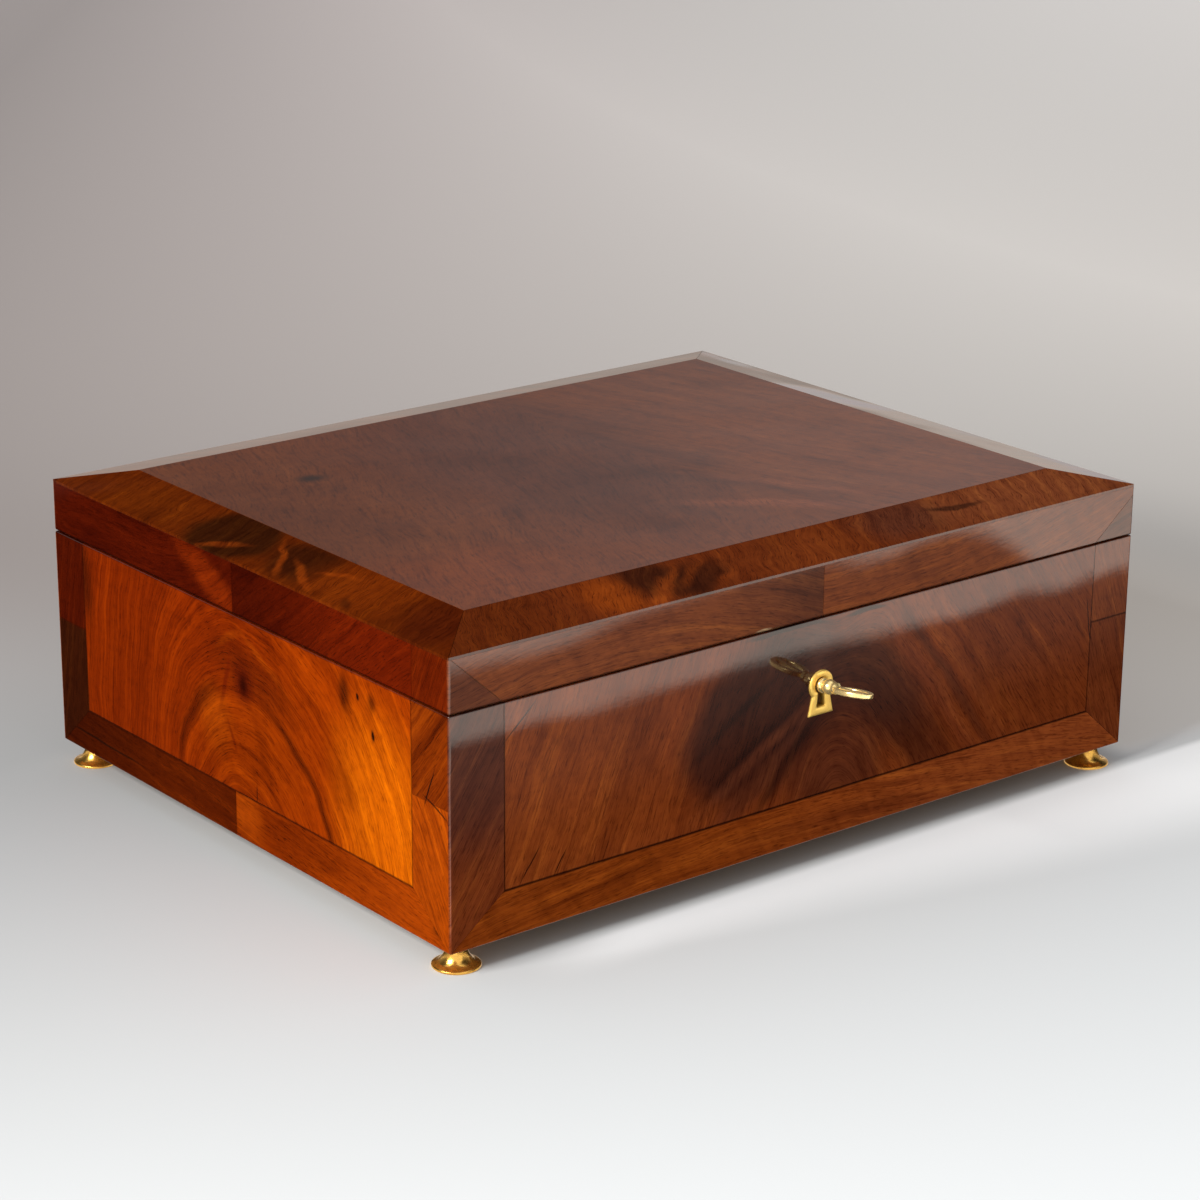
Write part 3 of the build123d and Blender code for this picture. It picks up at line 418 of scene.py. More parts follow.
# Swirl figure: arches round a knot, upright to the back and fanned out to the front
left = Veneer("left_panel_swirl", left_face, 11, 3.0, 26.0)
across = left.du * (left.du.rise(-15, 15, 1.6, 1.15) + left.du.rise(-110, -30, 0.7, 0.0))
rings = (across * across + (left.dw + 20) * (left.dw + 20)).power(0.5)
left.timber(rings, (140, 49, 1), 0.6, 80, 1.5, 10)
left.stain((113, 33, 1), 0.85, left.u.rise(50, -30))
left.stain((112, 32, 1), 0.5, left.w.rise(50, 85), left.u.rise(50, 10))
# The pale oval at the front end is partly the wood's own tone and partly painted light, brighter
# towards the front end
left.spots(
    ((198, 94, 3), 0.85, 98, 34, 28, 38, 20, 0.6),
    ((128, 46, 1), 0.5, 5, 36, 36, 20, 0, 0.6),
)
left.stain((70, 18, 1), 0.75, left.stripe(rings, 78, 86, 3), left.spot(-34, 40, 26, 14, 60, 0.5))
left.stain((66, 18, 1), 0.75, left.stripe(rings, 79, 83, 2), left.spot(46, 38, 34, 12, -48, 0.5))
left.spots(
    ((150, 58, 3), 0.7, 20, 75, 18, 1.4, -27, 0.6),
    ((150, 58, 3), 0.7, -6, 79, 8, 1.4, 30, 0.6),
    ((80, 22, 2), 0.65, 10, 68, 26, 10, -14, 0.7),
    ((70, 14, 3), 0.8, 3, 64, 6, 8, 0, 0.7),
    ((40, 6, 2), 0.85, 3, 64, 2.4, 3.4, 0, 0.8),
    ((92, 22, 2), 0.8, -10, 58, 15, 1.1, 72, 0.6),
    ((92, 22, 2), 0.8, -5, 41, 6, 0.9, 118, 0.6),
    ((150, 62, 4), 0.5, -16, 44, 10, 12, 0, 0.6),
    ((48, 12, 2), 0.8, 71, 80, 3.4, 6, 0, 0.8),
    ((20, 6, 3), 0.95, 79.5, 81, 0.8, 1.2, 0, 0.5),
    ((20, 6, 3), 0.95, 88, 70, 0.9, 2.0, 20, 0.5),
    ((52, 14, 2), 0.7, 88, 82, 2, 3, 0, 0.8),
    ((46, 12, 2), 0.7, -113, 76, 6, 14, 12, 0.6),
)
left.cracks((11, 22, 4, 0.35, 90), amount=0.6)
left.framed(-113.2, 112.2, bottom_joint, 0.6)
left.polish().on("left_panel_veneer")

strip = band("left_back_band", left_face, 12, (66, 13, 1), 0.6, lean=0.2)
strip.stain((42, 16, 4), 0.8, strip.w.rise(52.8, 53.4, 1.0, 0.0))
strip.polish().on("left_back_band")
strip = Veneer("left_front_band", left_face, 13, *gentle)
strip.timber(strip.du - strip.dw * strip.w.rise(54.1, 54.6, -0.55, 0.8), (150, 60, 4), 0.8)
strip.stain((94, 31, 3), 0.75, strip.w.rise(54.1, 54.6))
strip.cracks((122.5, 60, 8, 0.35, 68), (126, 53.6, 7, 0.4, -24))
strip.polish().on("left_front_band")
strip = band("left_bottom_band", left_face, 14, (112, 37, 1), 0.5, slope=-0.12)
strip.stain((78, 23, 1), 0.95, strip.u.rise(-4.2, -3.4, 1.0, 0.0))
strip.stain((50, 11, 1), 0.8, strip.u.rise(-30, -130))
strip.stain((160, 66, 5), 0.6, strip.u.rise(-3.8, -3.2), strip.spot(2, 12, 12, 9, -30, 0.5))
strip.stain((160, 64, 5), 0.7, strip.u.rise(30, 120))
strip.stain((40, 22, 5), 0.8, strip.spot(129, 7, 4, 2.2, 10, 0.6))
strip.cracks((-101, 7.6, 30, 0.4, -1))
strip.joint(bottom_joint - strip.w, 0.5)
strip.polish().on("left_bottom_band")

right = Veneer("right_panel_swirl", right_face, 21, 3.0, 26.0)
across = right.du * right.du.rise(-15, 15, 1.2, 1.5)
rings = (across * across + (right.dw + 20) * (right.dw + 20)).power(0.5)
right.timber(rings, (126, 54, 14), 0.6, 80, 1.5, 10)
right.stain(heart, 0.6, right.spot(20, 40, 34, 22, -20, 0.6))
right.polish().on("right_panel_veneer")
for name, face, seed, tone, run in (
    ("right_front_band", right_face, 22, (100, 42, 14), {"lean": 0.5}),
    ("right_back_band", right_face, 23, (92, 38, 14), {"lean": -0.4}),
    ("right_bottom_band", right_face, 24, (110, 46, 14), {"slope": 0.05}),
    ("back_veneer", back_face, 25, (112, 50, 18), {"slope": 0.02, "length": 120}),
):
    band(name, face, seed, tone, 0.8, **run).polish().on(name)


# ---- Linings -------------------------------------------------------------------------------
# Card covered with dark red cloth, glued to the inside of the case and of the lid. The cloth is
# turned over the edges of each card, so they are round, and its nap is brushed one way.

def cloth(name, across, along, seed):
    """Worn red cloth on a face that lies along these two axes."""
    felt = Finish(name, 0.92, Specular_IOR_Level=0.15, Sheen_Weight=0.25, Sheen_Roughness=0.5)
    u, w = getattr(felt, across), getattr(felt, along)
    nap = felt.cloud(u, w, felt.x + seed, (0.7, 1.6, 3), 3, 0.6)
    worn = felt.cloud(felt.x, felt.y, felt.z, (40, 40, 40), 3)
    red = felt.mix(nap.rise(0.3, 0.7), paint(84, 14, 20), paint(136, 34, 40))
    felt.colour(felt.mix(worn.rise(0.45, 0.8) * 0.5, red, paint(128, 58, 54)))
    felt.relief(nap, 0.0004)
    return felt


def fitted(mesh, finish, body, slot, *replaced):
    """Sets a new piece on its body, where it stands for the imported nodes."""
    mesh.materials.clear()
    mesh.materials.append(finish.material)
    piece = bpy.data.objects.new(mesh.name, mesh)
    bpy.context.scene.collection.objects.link(piece)
    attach(piece, body)
    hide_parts(*replaced)


turned_edge = 0.0007


def covered_card(node, body, finish, notch=None):
    """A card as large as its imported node, open round the lock where it has a notch."""
    low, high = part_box(node)
    thin = min(range(3), key=lambda axis: high[axis] - low[axis])
    wide, tall = (axis for axis in range(3) if axis != thin)
    outline = [(low[wide], low[tall]), (high[wide], low[tall]), (high[wide], high[tall])]
    if notch:
        left, right, bottom = notch
        outline += [(right, high[tall]), (right, bottom), (left, bottom), (left, high[tall])]
    outline.append((low[wide], high[tall]))
    card = bmesh.new()
    faces = []
    for level in (low[thin], high[thin]):
        ring = []
        for across, up in outline:
            place = [level, level, level]
            place[wide], place[tall] = across, up
            ring.append(card.verts.new(place))
        faces.append(card.faces.new(ring))
    inner, outer = (face.verts[:] for face in faces)
    for i in range(len(outline)):
        card.faces.new((inner[i - 1], inner[i], outer[i], outer[i - 1]))
    bmesh.ops.recalc_face_normals(card, faces=card.faces)
    bmesh.ops.bevel(
        card, geom=card.edges[:], offset=turned_edge, segments=4, profile=0.5, affect="EDGES"
    )
    mesh = bpy.data.meshes.new(node + "_covered")
    card.to_mesh(mesh)
    card.free()
    fitted(mesh, finish, body, "lining_cloth", node)


flat_cloth = cloth("lining_flat", "x", "y", 0)
covered_card("floor_lining", "case", flat_cloth)
covered_card("lid_lining", "lid", flat_cloth)
lock_low, lock_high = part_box("lock_plate")
clear = 0.0003
round_lock = (lock_low[0] - clear, lock_high[0] + clear, lock_low[2] - clear)
upright_cloth = cloth("lining_upright", "x", "z", 5)
covered_card("front_lining", "case", upright_cloth, round_lock)
covered_card("back_lining", "case", upright_cloth)
side_cloth = cloth("lining_side", "y", "z", 9)
covered_card("left_lining", "case", side_cloth)
covered_card("right_lining", "case", side_cloth)


# ---- Feet ----------------------------------------------------------------------------------
# Turned brass discs on short necks, lacquered gold. Each has a shank that is driven into the
# bottom board near a corner.

def metal(name, bright, dull, roughness, tarnish=0.3, metallic=1.0):
    """Brass or steel with turning marks, duller where it is tarnished."""
    brass = Finish(name, roughness, Metallic=metallic)
    turning = brass.cloud(brass.x, brass.y, brass.z, (3, 3, 0.25), 2)
    spots = brass.cloud(brass.x, brass.y, brass.z, (4, 4, 4), 4, 0.6)
    fine = brass.cloud(brass.x, brass.y, brass.z, (0.5, 0.5, 0.5), 2)
    tone = brass.mix(spots.rise(0.45, 0.75) * tarnish, bright, dull)
    brass.colour(brass.mix(turning.rise(0.45, 0.8) * 0.25, tone, dull))
    worn = spots.rise(0.35, 0.75, roughness, roughness + 0.16)
    brass.feed(brass.surface.inputs["Roughness"], worn)
    brass.relief(turning + fine * 0.5, 0.00002)
    return brass


class Lathe:
    """A node tree that turns a profile round and sets a copy at each place that it is given."""

    def __init__(self, name, profile, around, between, slot=None):
        self.tree = bpy.data.node_groups.new(name, "GeometryNodeTree")
        self.inputs = {}
        self.entry("Places", "Geometry")
        radius = max(r for r, z in profile)
        length = max((z for r, z in profile), key=abs)
        self.entry("Radius", "Float", radius / 1000)
        self.entry("Length", "Float", length / 1000)
        self.entry("Seed", "Int", 0)
        self.entry("Finish", "Material")
        self.tree.interface.new_socket("Turned", in_out="OUTPUT", socket_type="NodeSocketGeometry")
        given = self.node("NodeGroupInput").outputs

        # A flat grid, rolled up round the axis and drawn in to the profile
        rows = (len(profile) - 1) * between
        sheet = self.node(
            "GeometryNodeMeshGrid", Size_X=1, Size_Y=1, Vertices_X=around + 1, Vertices_Y=rows + 1
        )
        flat = self.node("GeometryNodeInputPosition")
        place = self.node("ShaderNodeSeparateXYZ", Vector=flat.outputs[0])
        angle = self.number("MULTIPLY", self.number("ADD", place.outputs[0], 0.5), 2 * pi)
        along = self.number("ADD", place.outputs[1], 0.5)
        outline = self.curve(along, [r / radius for r, z in profile])
        heights = self.curve(along, [z / length for r, z in profile])
        out = self.number("MULTIPLY", outline, given["Radius"])
        up = self.number("MULTIPLY", heights, given["Length"])
        spot = self.node(
            "ShaderNodeCombineXYZ",
            X=self.number("MULTIPLY", out, self.number("COSINE", angle)),
            Y=self.number("MULTIPLY", out, self.number("SINE", angle)),
            Z=up,
        )
        turned = self.node(
            "GeometryNodeSetPosition", Geometry=sheet.outputs[0], Position=spot.outputs[0]
        )
        closed = self.node(
            "GeometryNodeMergeByDistance", Geometry=turned.outputs[0], Distance=0.000002
        )
        shape = self.node("GeometryNodeFlipFaces", Mesh=closed.outputs[0]) if length > 0 else closed

        # The slot, sawn across the head
        if slot:
            width, depth = slot
            saw = (3 * radius / 1000, width / 1000, 2 * depth / 1000)
            blade = self.node("GeometryNodeMeshCube", Size=saw)
            shape = self.node("GeometryNodeMeshBoolean")
            shape.operation = "DIFFERENCE"
            shape.solver = "EXACT"
            self.tree.links.new(closed.outputs[0], shape.inputs["Mesh 1"])
            self.tree.links.new(blade.outputs[0], shape.inputs["Mesh 2"])

        # One copy at each place, facing its way and turned about its axis by chance
        facing = self.node("GeometryNodeInputNamedAttribute", Name="facing")
        facing.data_type = "FLOAT_VECTOR"
        stood = self.node("FunctionNodeAlignRotationToVector", Vector=facing.outputs["Attribute"])
        stood.axis = "Z"
        chance = self.node("FunctionNodeRandomValue", Seed=given["Seed"])
        chance.inputs[2].default_value, chance.inputs[3].default_value = 0.0, 2 * pi
        spin = self.node("FunctionNodeAxisAngleToRotation", Angle=chance.outputs[1])
        stance = self.node(
            "FunctionNodeRotateRotation", Rotation=stood.outputs[0], Rotate_By=spin.outputs[0]
        )
        stance.rotation_space = "LOCAL"
        copies = self.node(
            "GeometryNodeInstanceOnPoints", Points=given["Places"], Instance=shape.outputs[0],
            Rotation=stance.outputs[0],
        )
        real = self.node("GeometryNodeRealizeInstances", Geometry=copies.outputs[0])
        done = self.node(
            "GeometryNodeSetMaterial", Geometry=real.outputs[0], Material=given["Finish"]
        )
        self.tree.links.new(done.outputs[0], self.node("NodeGroupOutput").inputs[0])

    def entry(self, label, kind, value=None):
        """A named input of the tree."""
        socket = self.tree.interface.new_socket(
            label, in_out="INPUT", socket_type="NodeSocket" + kind
        )
        if value is not None:
            socket.default_value = value
        self.inputs[label] = socket.identifier

    def node(self, kind, **values):
        """A node of the tree, with what its inputs are linked to or set to."""
        node = self.tree.nodes.new(kind)
        for label, value in values.items():
            socket = node.inputs[label.replace("_", " ")]
            if isinstance(value, bpy.types.NodeSocket):
                self.tree.links.new(value, socket)
            else:
                socket.default_value = value
        return node

    def number(self, operation, *values):
        """The result of a sum on two numbers, or of a sine or cosine."""
        node = self.node("ShaderNodeMath")
        node.operation = operation
        for socket, value in zip(node.inputs, values):
            if isinstance(value, bpy.types.NodeSocket):
                self.tree.links.new(value, socket)
            else:
                socket.default_value = value
        return node.outputs[0]

    def curve(self, along, heights):
        """A smooth line through evenly spaced heights."""
        node = self.node("ShaderNodeFloatCurve", Value=along)
        line = node.mapping.curves[0]
        last = len(heights) - 1
        line.points[0].location = (0, heights[0])
        line.points[1].location = (1, heights[last])
        for i in range(1, last):
            line.points.new(i / last, heights[i])
        for point in line.points:
            point.handle_type = "AUTO_CLAMPED"
        node.mapping.update()
        return node.outputs[0]

    def turn(self, name, finish, places, seed=0):
        """The plain mesh of all the copies, each at its place in millimetres and facing its way."""
        marks = bpy.data.meshes.new(name + "_places")
        marks.from_pydata([[c / 1000 for c in place] for place, way in places], [], [])
        facing = marks.attributes.new("facing", "FLOAT_VECTOR", "POINT")
        for i, (place, way) in enumerate(places):
            facing.data[i].vector = way
        blank = bpy.data.objects.new(name, marks)
        bpy.context.scene.collection.objects.link(blank)
        lathe = blank.modifiers.new("lathe", "NODES")
        lathe.node_group = self.tree
        lathe[self.inputs["Seed"]] = seed
        lathe[self.inputs["Finish"]] = finish.material
        seen = blank.evaluated_get(bpy.context.evaluated_depsgraph_get())
        mesh = bpy.data.meshes.new_from_object(seen)
        mesh.name = name
        blank.modifiers.remove(lathe)
        bpy.data.objects.remove(blank)
        bpy.data.meshes.remove(marks)
        shell = bmesh.new()
        shell.from_mesh(mesh)
        bmesh.ops.recalc_face_normals(shell, faces=shell.faces)
        shell.to_mesh(mesh)
        shell.free()
        mesh.shade_smooth()
        return mesh


foot_profile = (
    (0, 0), (8.4, 0), (8.9, 0.12), (9.1, 0.45), (9.05, 0.85), (8.7, 1.12), (7.2, 1.7), (5.64, 3.13),
    (4.6, 5.0), (4.15, 6.7), (4.1, 7.6), (4.3, 8.2), (4.6, 8.6), (4.6, 9.1), (4.45, 9.5),
    (1.6, 9.5), (1.6, 16.2), (0, 16.5),
)
up = (0, 0, 1)
foot_columns = (-162.095, 162.095)
foot_rows = (-112.67, 138.129)
foot_places = [((x, y, 0), up) for x in foot_columns for y in foot_rows]
gilt = metal(
    "gilt_brass", paint(252, 194, 94), paint(152, 92, 28), 0.16, tarnish=0.6, metallic=0.95
)
feet = Lathe("turned_foot", foot_profile, 96, 4).turn("feet", gilt, foot_places)
fitted(
    feet, gilt, "case", "gilt_brass",
    "foot_front_left", "foot_front_right", "foot_back_left", "foot_back_right",
)


# ---- Keyhole plate -------------------------------------------------------------------------
# A cast brass plate in the shape of a keyhole, let into the front veneer. Its edges are filed
# round, outside and along the keyhole.

def keyhole_line(size, inset):
    """The outline of a round over a foot that widens downwards, drawn in by the inset."""
    radius, drop = size["radius"] - inset, size["drop"] - inset
    shoulder, foot = size["shoulder"] - 2 * inset, size["foot"] - 2 * inset
    neck = (radius ** 2 - (shoulder / 2) ** 2) ** 0.5
    start = atan2(-neck, shoulder / 2)
    arc = [start + (pi - 2 * start) * i / 48 for i in range(49)]
    line = [(radius * cos(a), radius * sin(a)) for a in arc]
    corners = [(-shoulder / 2, -neck), (-foot / 2, -drop), (foot / 2, -drop), (shoulder / 2, -neck)]
    for (x, y), (next_x, next_y) in zip(corners, corners[1:]):
        line += [(x + (next_x - x) * i / 12, y + (next_y - y) * i / 12) for i in range(1, 13)]
    return line[:-1]


plate_size = {"radius": 6.0, "shoulder": 9.0, "foot": 12.6, "drop": 11.9}
keyhole_size = {"radius": 3.1, "shoulder": 3.0, "foot": 4.1, "drop": 8.5}

# From the back of the plate to the top of its filed edge: how far in, and how high
filed_edge = ((0, -2.0), (0, 0.2), (0.06, 0.42), (0.2, 0.6), (0.45, 0.74), (0.8, 0.8))
keyhole_middle = (2.4, -121.871, 72.65)
plate = bmesh.new()
loops = []
rounds = [(plate_size, inset, height) for inset, height in filed_edge]
rounds += [(keyhole_size, -inset, height) for inset, height in reversed(filed_edge)]
for size, inset, height in rounds:
    line = keyhole_line(size, inset)
    x, y, z = keyhole_middle
    places = [((x + a) / 1000, (y - height) / 1000, (z + b) / 1000) for a, b in line]
    loops.append([plate.verts.new(place) for place in places])
for loop, following in zip(loops, loops[1:] + loops[:1]):
    for i in range(len(loop)):
        plate.faces.new((loop[i - 1], loop[i], following[i], following[i - 1]))
bmesh.ops.recalc_face_normals(plate, faces=plate.faces)
keyhole_plate = bpy.data.meshes.new("keyhole_plate")
plate.to_mesh(keyhole_plate)
plate.free()
keyhole_plate.shade_smooth()
plate_brass = metal("plate_brass", paint(255, 214, 112), paint(226, 172, 78), 0.34, metallic=0.6)
fitted(keyhole_plate, plate_brass, "case", "gilt_brass", "escutcheon")


# ---- Hinges --------------------------------------------------------------------------------
# Two brass butt hinges let into the back rims. Steel pins join their leaves, and countersunk
# screws hold them.

old_brass = (paint(206, 160, 84), paint(128, 92, 46), 0.3)
metal("hinge_brass", *old_brass).on(
    "left_hinge_body_leaf", "right_hinge_body_leaf", "left_hinge_lid_leaf", "right_hinge_lid_leaf"
)

# The lock's back plate, with painted shade: black where the keyhole leaves it open
lock_brass = metal("lock_brass", *old_brass)
aside, over = lock_brass.x - keyhole_middle[0], lock_brass.z - 70
keyhole_shade = (aside * aside + over * over).rise(90, 160, 1.0, 0.0)
unshaded_brass = lock_brass.surface.inputs["Base Color"].links[0].from_socket
lock_brass.colour(lock_brass.mix(keyhole_shade, unshaded_brass, paint(22, 14, 8)))
lock_brass.on("lock_plate")
steel = metal("steel", paint(150, 148, 144), paint(96, 88, 80), 0.34)
steel.on("hinge_pins", "link_plate", "lock_cap", "lock_pin", "lock_bolt", "bolt_spring")


# ---- Screws --------------------------------------------------------------------------------
# Countersunk steel screws with slotted heads, each stopped where it was tight. They hold the
# hinges in both rims, the lock in the front board and the links under the lid.

screw_profile = (
    (0, 0), (1.8, 0), (1.95, -0.03), (2.0, -0.12), (1.9, -0.25), (1.05, -1.05), (0.95, -1.3),
    (0.95, -3.2), (0.85, -5.0), (0, -7.0),
)
screw = Lathe("slotted_screw", screw_profile, 32, 2, slot=(0.5, 0.5))
down = (0, 0, -1)
inwards = (0, 1, 0)
case_rim, lid_rim = 99.5, 99.9
hinge_middle, screw_pitch, hinge_row = 102, 14, 139.779
lock_ends, lock_top_row, lock_back, lock_rows = (-30.8, 35.6), -113.771, -108.871, (63.85, 82.8)
link_ends, link_row = (-17.6, 22.4), -114.021
steps = (-screw_pitch, 0, screw_pitch)
hinge_screws = [side * (hinge_middle + step) for side in (-1, 1) for step in steps]
case_screws = [((x, hinge_row, case_rim), up) for x in hinge_screws]
for x in lock_ends:
    case_screws.append(((x, lock_top_row, case_rim), up))
    case_screws += [((x, lock_back, z), inwards) for z in lock_rows]
lid_screws = [((x, hinge_row, lid_rim), down) for x in hinge_screws]
lid_screws += [((x, link_row, lid_rim), down) for x in link_ends]
fitted(
    screw.turn("case_screws", steel, case_screws, 3), steel, "case", "steel",
    "hinge_body_screws", "lock_screws",
)
fitted(
    screw.turn("lid_screws", steel, lid_screws, 8), steel, "lid", "steel",
    "hinge_lid_screws", "link_screws",
)


# ---- Lid -----------------------------------------------------------------------------------
# Veneered like the case. The canted border is cross-grained, with burr patches on the front and
# left slopes, and the flat panel is swirl figure under a slightly hazy polish.

lid_front = (("x", 1, 0), ("z", 1, -lid_rim))
lid_left = (("y", -1, case_middle), ("z", 1, -lid_rim))
lid_right = (("y", 1, -case_middle), ("z", 1, -lid_rim))
lid_back = (("x", -1, 0), ("z", 1, -lid_rim))
strip = Veneer("lid_front_left", lid_front, 31, *gentle)
away = strip.du + 60
strip.timber(strip.dw + strip.du * 0.16 + away * away * 0.002, (134, 66, 30), 0.6, curl=8)
strip.stain((84, 42, 26), 0.6, strip.u.rise(-60, 0))
corner_patch = (strip.u * -1 - strip.w * 1.109).rise(147.6, 148.2)
strip.stain((90, 46, 32), 0.6, corner_patch)
strip.stain((196, 160, 128), 0.8, strip.spot(-27, 0.3, 3.4, 0.5, 0, 0.5))
strip.polish(0.3, strip.w * strip.u.rise(-150, -30, 0.068, 0.092)).on("lid_front_veneer_left")
strip = Veneer("lid_front_right", lid_front, 32, *gentle)
away = strip.du - 60
strip.timber(strip.dw - strip.du * 0.1 - away * away * 0.001, (136, 66, 28), 0.6, curl=8)
corner_patch = (strip.u - strip.w * 1.263).rise(149.4, 150.0)
strip.stain((88, 48, 34), 0.6, corner_patch)
strip.polish(0.45, strip.w * strip.u.rise(60, 160, 0.085, 0.0)).on("lid_front_veneer_right")
strip = Veneer("lid_left", lid_left, 33, *gentle)
away = (strip.du + 62).most(0)
leaning = strip.u.rise(-3.0, -2.2, 0.0, 0.75) + strip.u.rise(112.2, 112.8, 0.0, 1.5)
grain = strip.dw - strip.du * leaning - away * away * strip.u.rise(-3.0, -2.2, 0.006, 0.0)
strip.timber(grain, (66, 12, 1), 0.55, 40)
back_length = strip.u.rise(-3.0, -2.2, 1.0, 0.0)
strip.stain((52, 8, 1), 0.5, strip.u.rise(-3.0, -2.2), strip.u.rise(-2, 60, 1.0, 0.0))
strip.stain((94, 23, 2), 0.85, strip.u.rise(10, 100))
strip.stain((124, 38, 3), 0.6, back_length, strip.spot(-18, 9, 24, 6, -24, 0.6))
strip.stain((92, 26, 2), 0.7, strip.u.rise(112.2, 112.8))
strip.polish().on("lid_left_veneer")
plain_tone = (112, 50, 18)
strip = band("lid_right", lid_right, 34, plain_tone, 0.8, slope=0.04)
strip.polish().on("lid_right_veneer")
strip = band("lid_back", lid_back, 35, plain_tone, 0.8, slope=0.03)
strip.polish().on("lid_back_veneer")

top_face = (("x", 1, 0), ("y", 1, -case_middle))
side_top = (("y", -1, case_middle), ("x", 1, 0))
lively = (4.5, 15.0)
burr = (44, 18, 8)
flame = (150, 68, 20)
slope = band("bevel_front", top_face, 41, (100, 42, 14), 0.5, lean=0.5, curl=6, sway=lively)
slope.stain((138, 76, 44), 0.6, slope.spot(130, -122, 70, 20, 0, 0.6))
slope.stain((82, 32, 5), 0.6, slope.u.rise(-96, -136))
slope.spots(
    ((140, 62, 12), 0.7, -90, -122, 12, 14, 10, 0.6),
    (burr, 0.8, -68, -118, 12, 14, 40, 0.5),
    (burr, 0.8, -50, -124, 16, 9, 20, 0.5),
    (flame, 0.5, -72, -129, 13, 2.4, 40, 0.8),
    (flame, 0.4, -62, -123, 12, 2.0, 48, 0.8),
    (flame, 0.3, -50, -120, 11, 1.8, 36, 0.8),
    ((136, 60, 18), 0.4, -42, -130, 12, 1.8, 30, 0.8),
    ((122, 56, 20), 0.5, 0, -122, 34, 16, 0, 0.6),
    ((84, 44, 30), 0.7, 56, -118, 20, 14, 0, 0.6),
    ((36, 16, 10), 0.7, 84, -120, 14, 1.6, -8, 0.5),
)
slope.polish().on("bevel_front")
side_flame = (132, 54, 8)
slope = band("bevel_left", side_top, 42, (88, 32, 3), 0.5, lean=-0.3, curl=6, sway=lively)
slope.spots(
    ((104, 44, 5), 0.4, -74, -160, 26, 12, 0, 0.6),
    ((38, 16, 4), 0.85, -20, -159, 24, 17, 0, 0.25),
    ((40, 15, 4), 0.8, 24, -156, 18, 13, 0, 0.4),
    ((104, 40, 4), 0.8, 62, -158, 24, 14, 0, 0.5),
    ((120, 48, 8), 0.6, -18, -166, 10, 1.6, 32, 0.7),
    (side_flame, 0.6, 14, -160, 13, 1.4, -40, 0.7),
    (side_flame, 0.6, 34, -164, 12, 1.6, -24, 0.7),
    (side_flame, 0.6, 46, -156, 9, 1.2, 20, 0.7),
    ((44, 15, 4), 0.6, 68, -167, 5, 1.6, -30, 0.7),
    ((62, 18, 4), 0.7, 112, -158, 20, 16, 0, 0.6),
)
slope.polish().on("bevel_left")
slope = band("bevel_right", side_top, 43, (110, 48, 18), 0.8, lean=0.2, curl=6)
slope.polish().on("bevel_right")
slope = band("bevel_back", top_face, 44, (110, 48, 18), 0.8, lean=-0.3, curl=6)
slope.polish().on("bevel_back")

panel = Veneer("lid_panel_swirl", top_face, 51, 6.0, 50.0)
chevron = abs(panel.du - 27) * 0.9 + panel.dw * 0.35
panel.timber(chevron, (104, 50, 20), 0.2, 90, 3.2, 16)
panel.spots(
    ((86, 42, 16), 0.6, -140, 20, 70, 90, 0, 0.8),
    ((74, 36, 26), 0.6, -8, 40, 60, 84, 8, 0.5),
    ((74, 36, 24), 0.4, -22, -50, 40, 46, 60, 0.6),
    ((78, 40, 26), 0.5, 36, -50, 50, 7, -58, 0.7),
    ((30, 16, 12), 0.85, -98, 58, 5, 4.4, 0, 0.8),
    ((110, 48, 16), 0.5, -120, -80, 36, 30, 0, 0.7),
    ((134, 70, 42), 0.5, 28, -82, 34, 5, -40, 0.7),
    ((130, 68, 40), 0.45, 50, -66, 40, 4, -58, 0.7),
    ((124, 64, 32), 0.5, 110, -20, 60, 110, 0, 0.7),
)
panel.polish(0.9).on("lid_panel_veneer")


# ---- Key -----------------------------------------------------------------------------------
# A cast brass pipe key, paler than the other brass. It stands in the lock with its pipe over
# the drill pin, and turns there.

metal("pale_brass", paint(255, 228, 160), paint(210, 166, 96), 0.2, metallic=0.75).on("key")


# ---- Floor, light and camera ---------------------------------------------------------------
# A pale floor with painted light and shade, a soft lamp on the left and a pale sky, seen from the
# photograph's viewpoint. The floor and the sky have a second face that only the polish and the
# brass mirror.

reach = 6.0
floor_mesh = bpy.data.meshes.new("floor")
floor_mesh.from_pydata(
    [(-reach, -reach, 0), (reach, -reach, 0), (reach, reach, 0), (-reach, reach, 0)],
    [],
    [(0, 1, 2, 3)],
)
floor = bpy.data.objects.new("floor", floor_mesh)
bpy.context.scene.collection.objects.link(floor)

# Painted light and shade: its colour darkens and lightens by metres away from the front left and by
# metres to the right
ahead_x, ahead_y = 0.6266, 0.7793
ground = Finish("floor", 0.8, Specular_IOR_Level=0.2)
away = (ground.x * ahead_x + ground.y * ahead_y) / 1000
side = (ground.x * ahead_y - ground.y * ahead_x) / 1000
near = (0.62 + side * 0.8 - away * 0.75).most(0.42).least(1.05) * 0.8
far = ((0.68 + side * 0.6).most(0.36) * away.most(0.1).power(0.5) * 1.08).least(0.9)
shade = near + (far - near) * away.rise(0.1, 0.42)
warmth = ground.mix(side.rise(-0.4, 0.3), (1.0, 0.91, 0.9, 1.0), (1.0, 0.97, 0.95, 1.0))
tint = ground.mix(away.rise(-0.1, 0.3), (0.95, 1.0, 1.05, 1.0), warmth)
ground.colour(ground.mix(shade, (0.0, 0.0, 0.0, 1.0), tint))
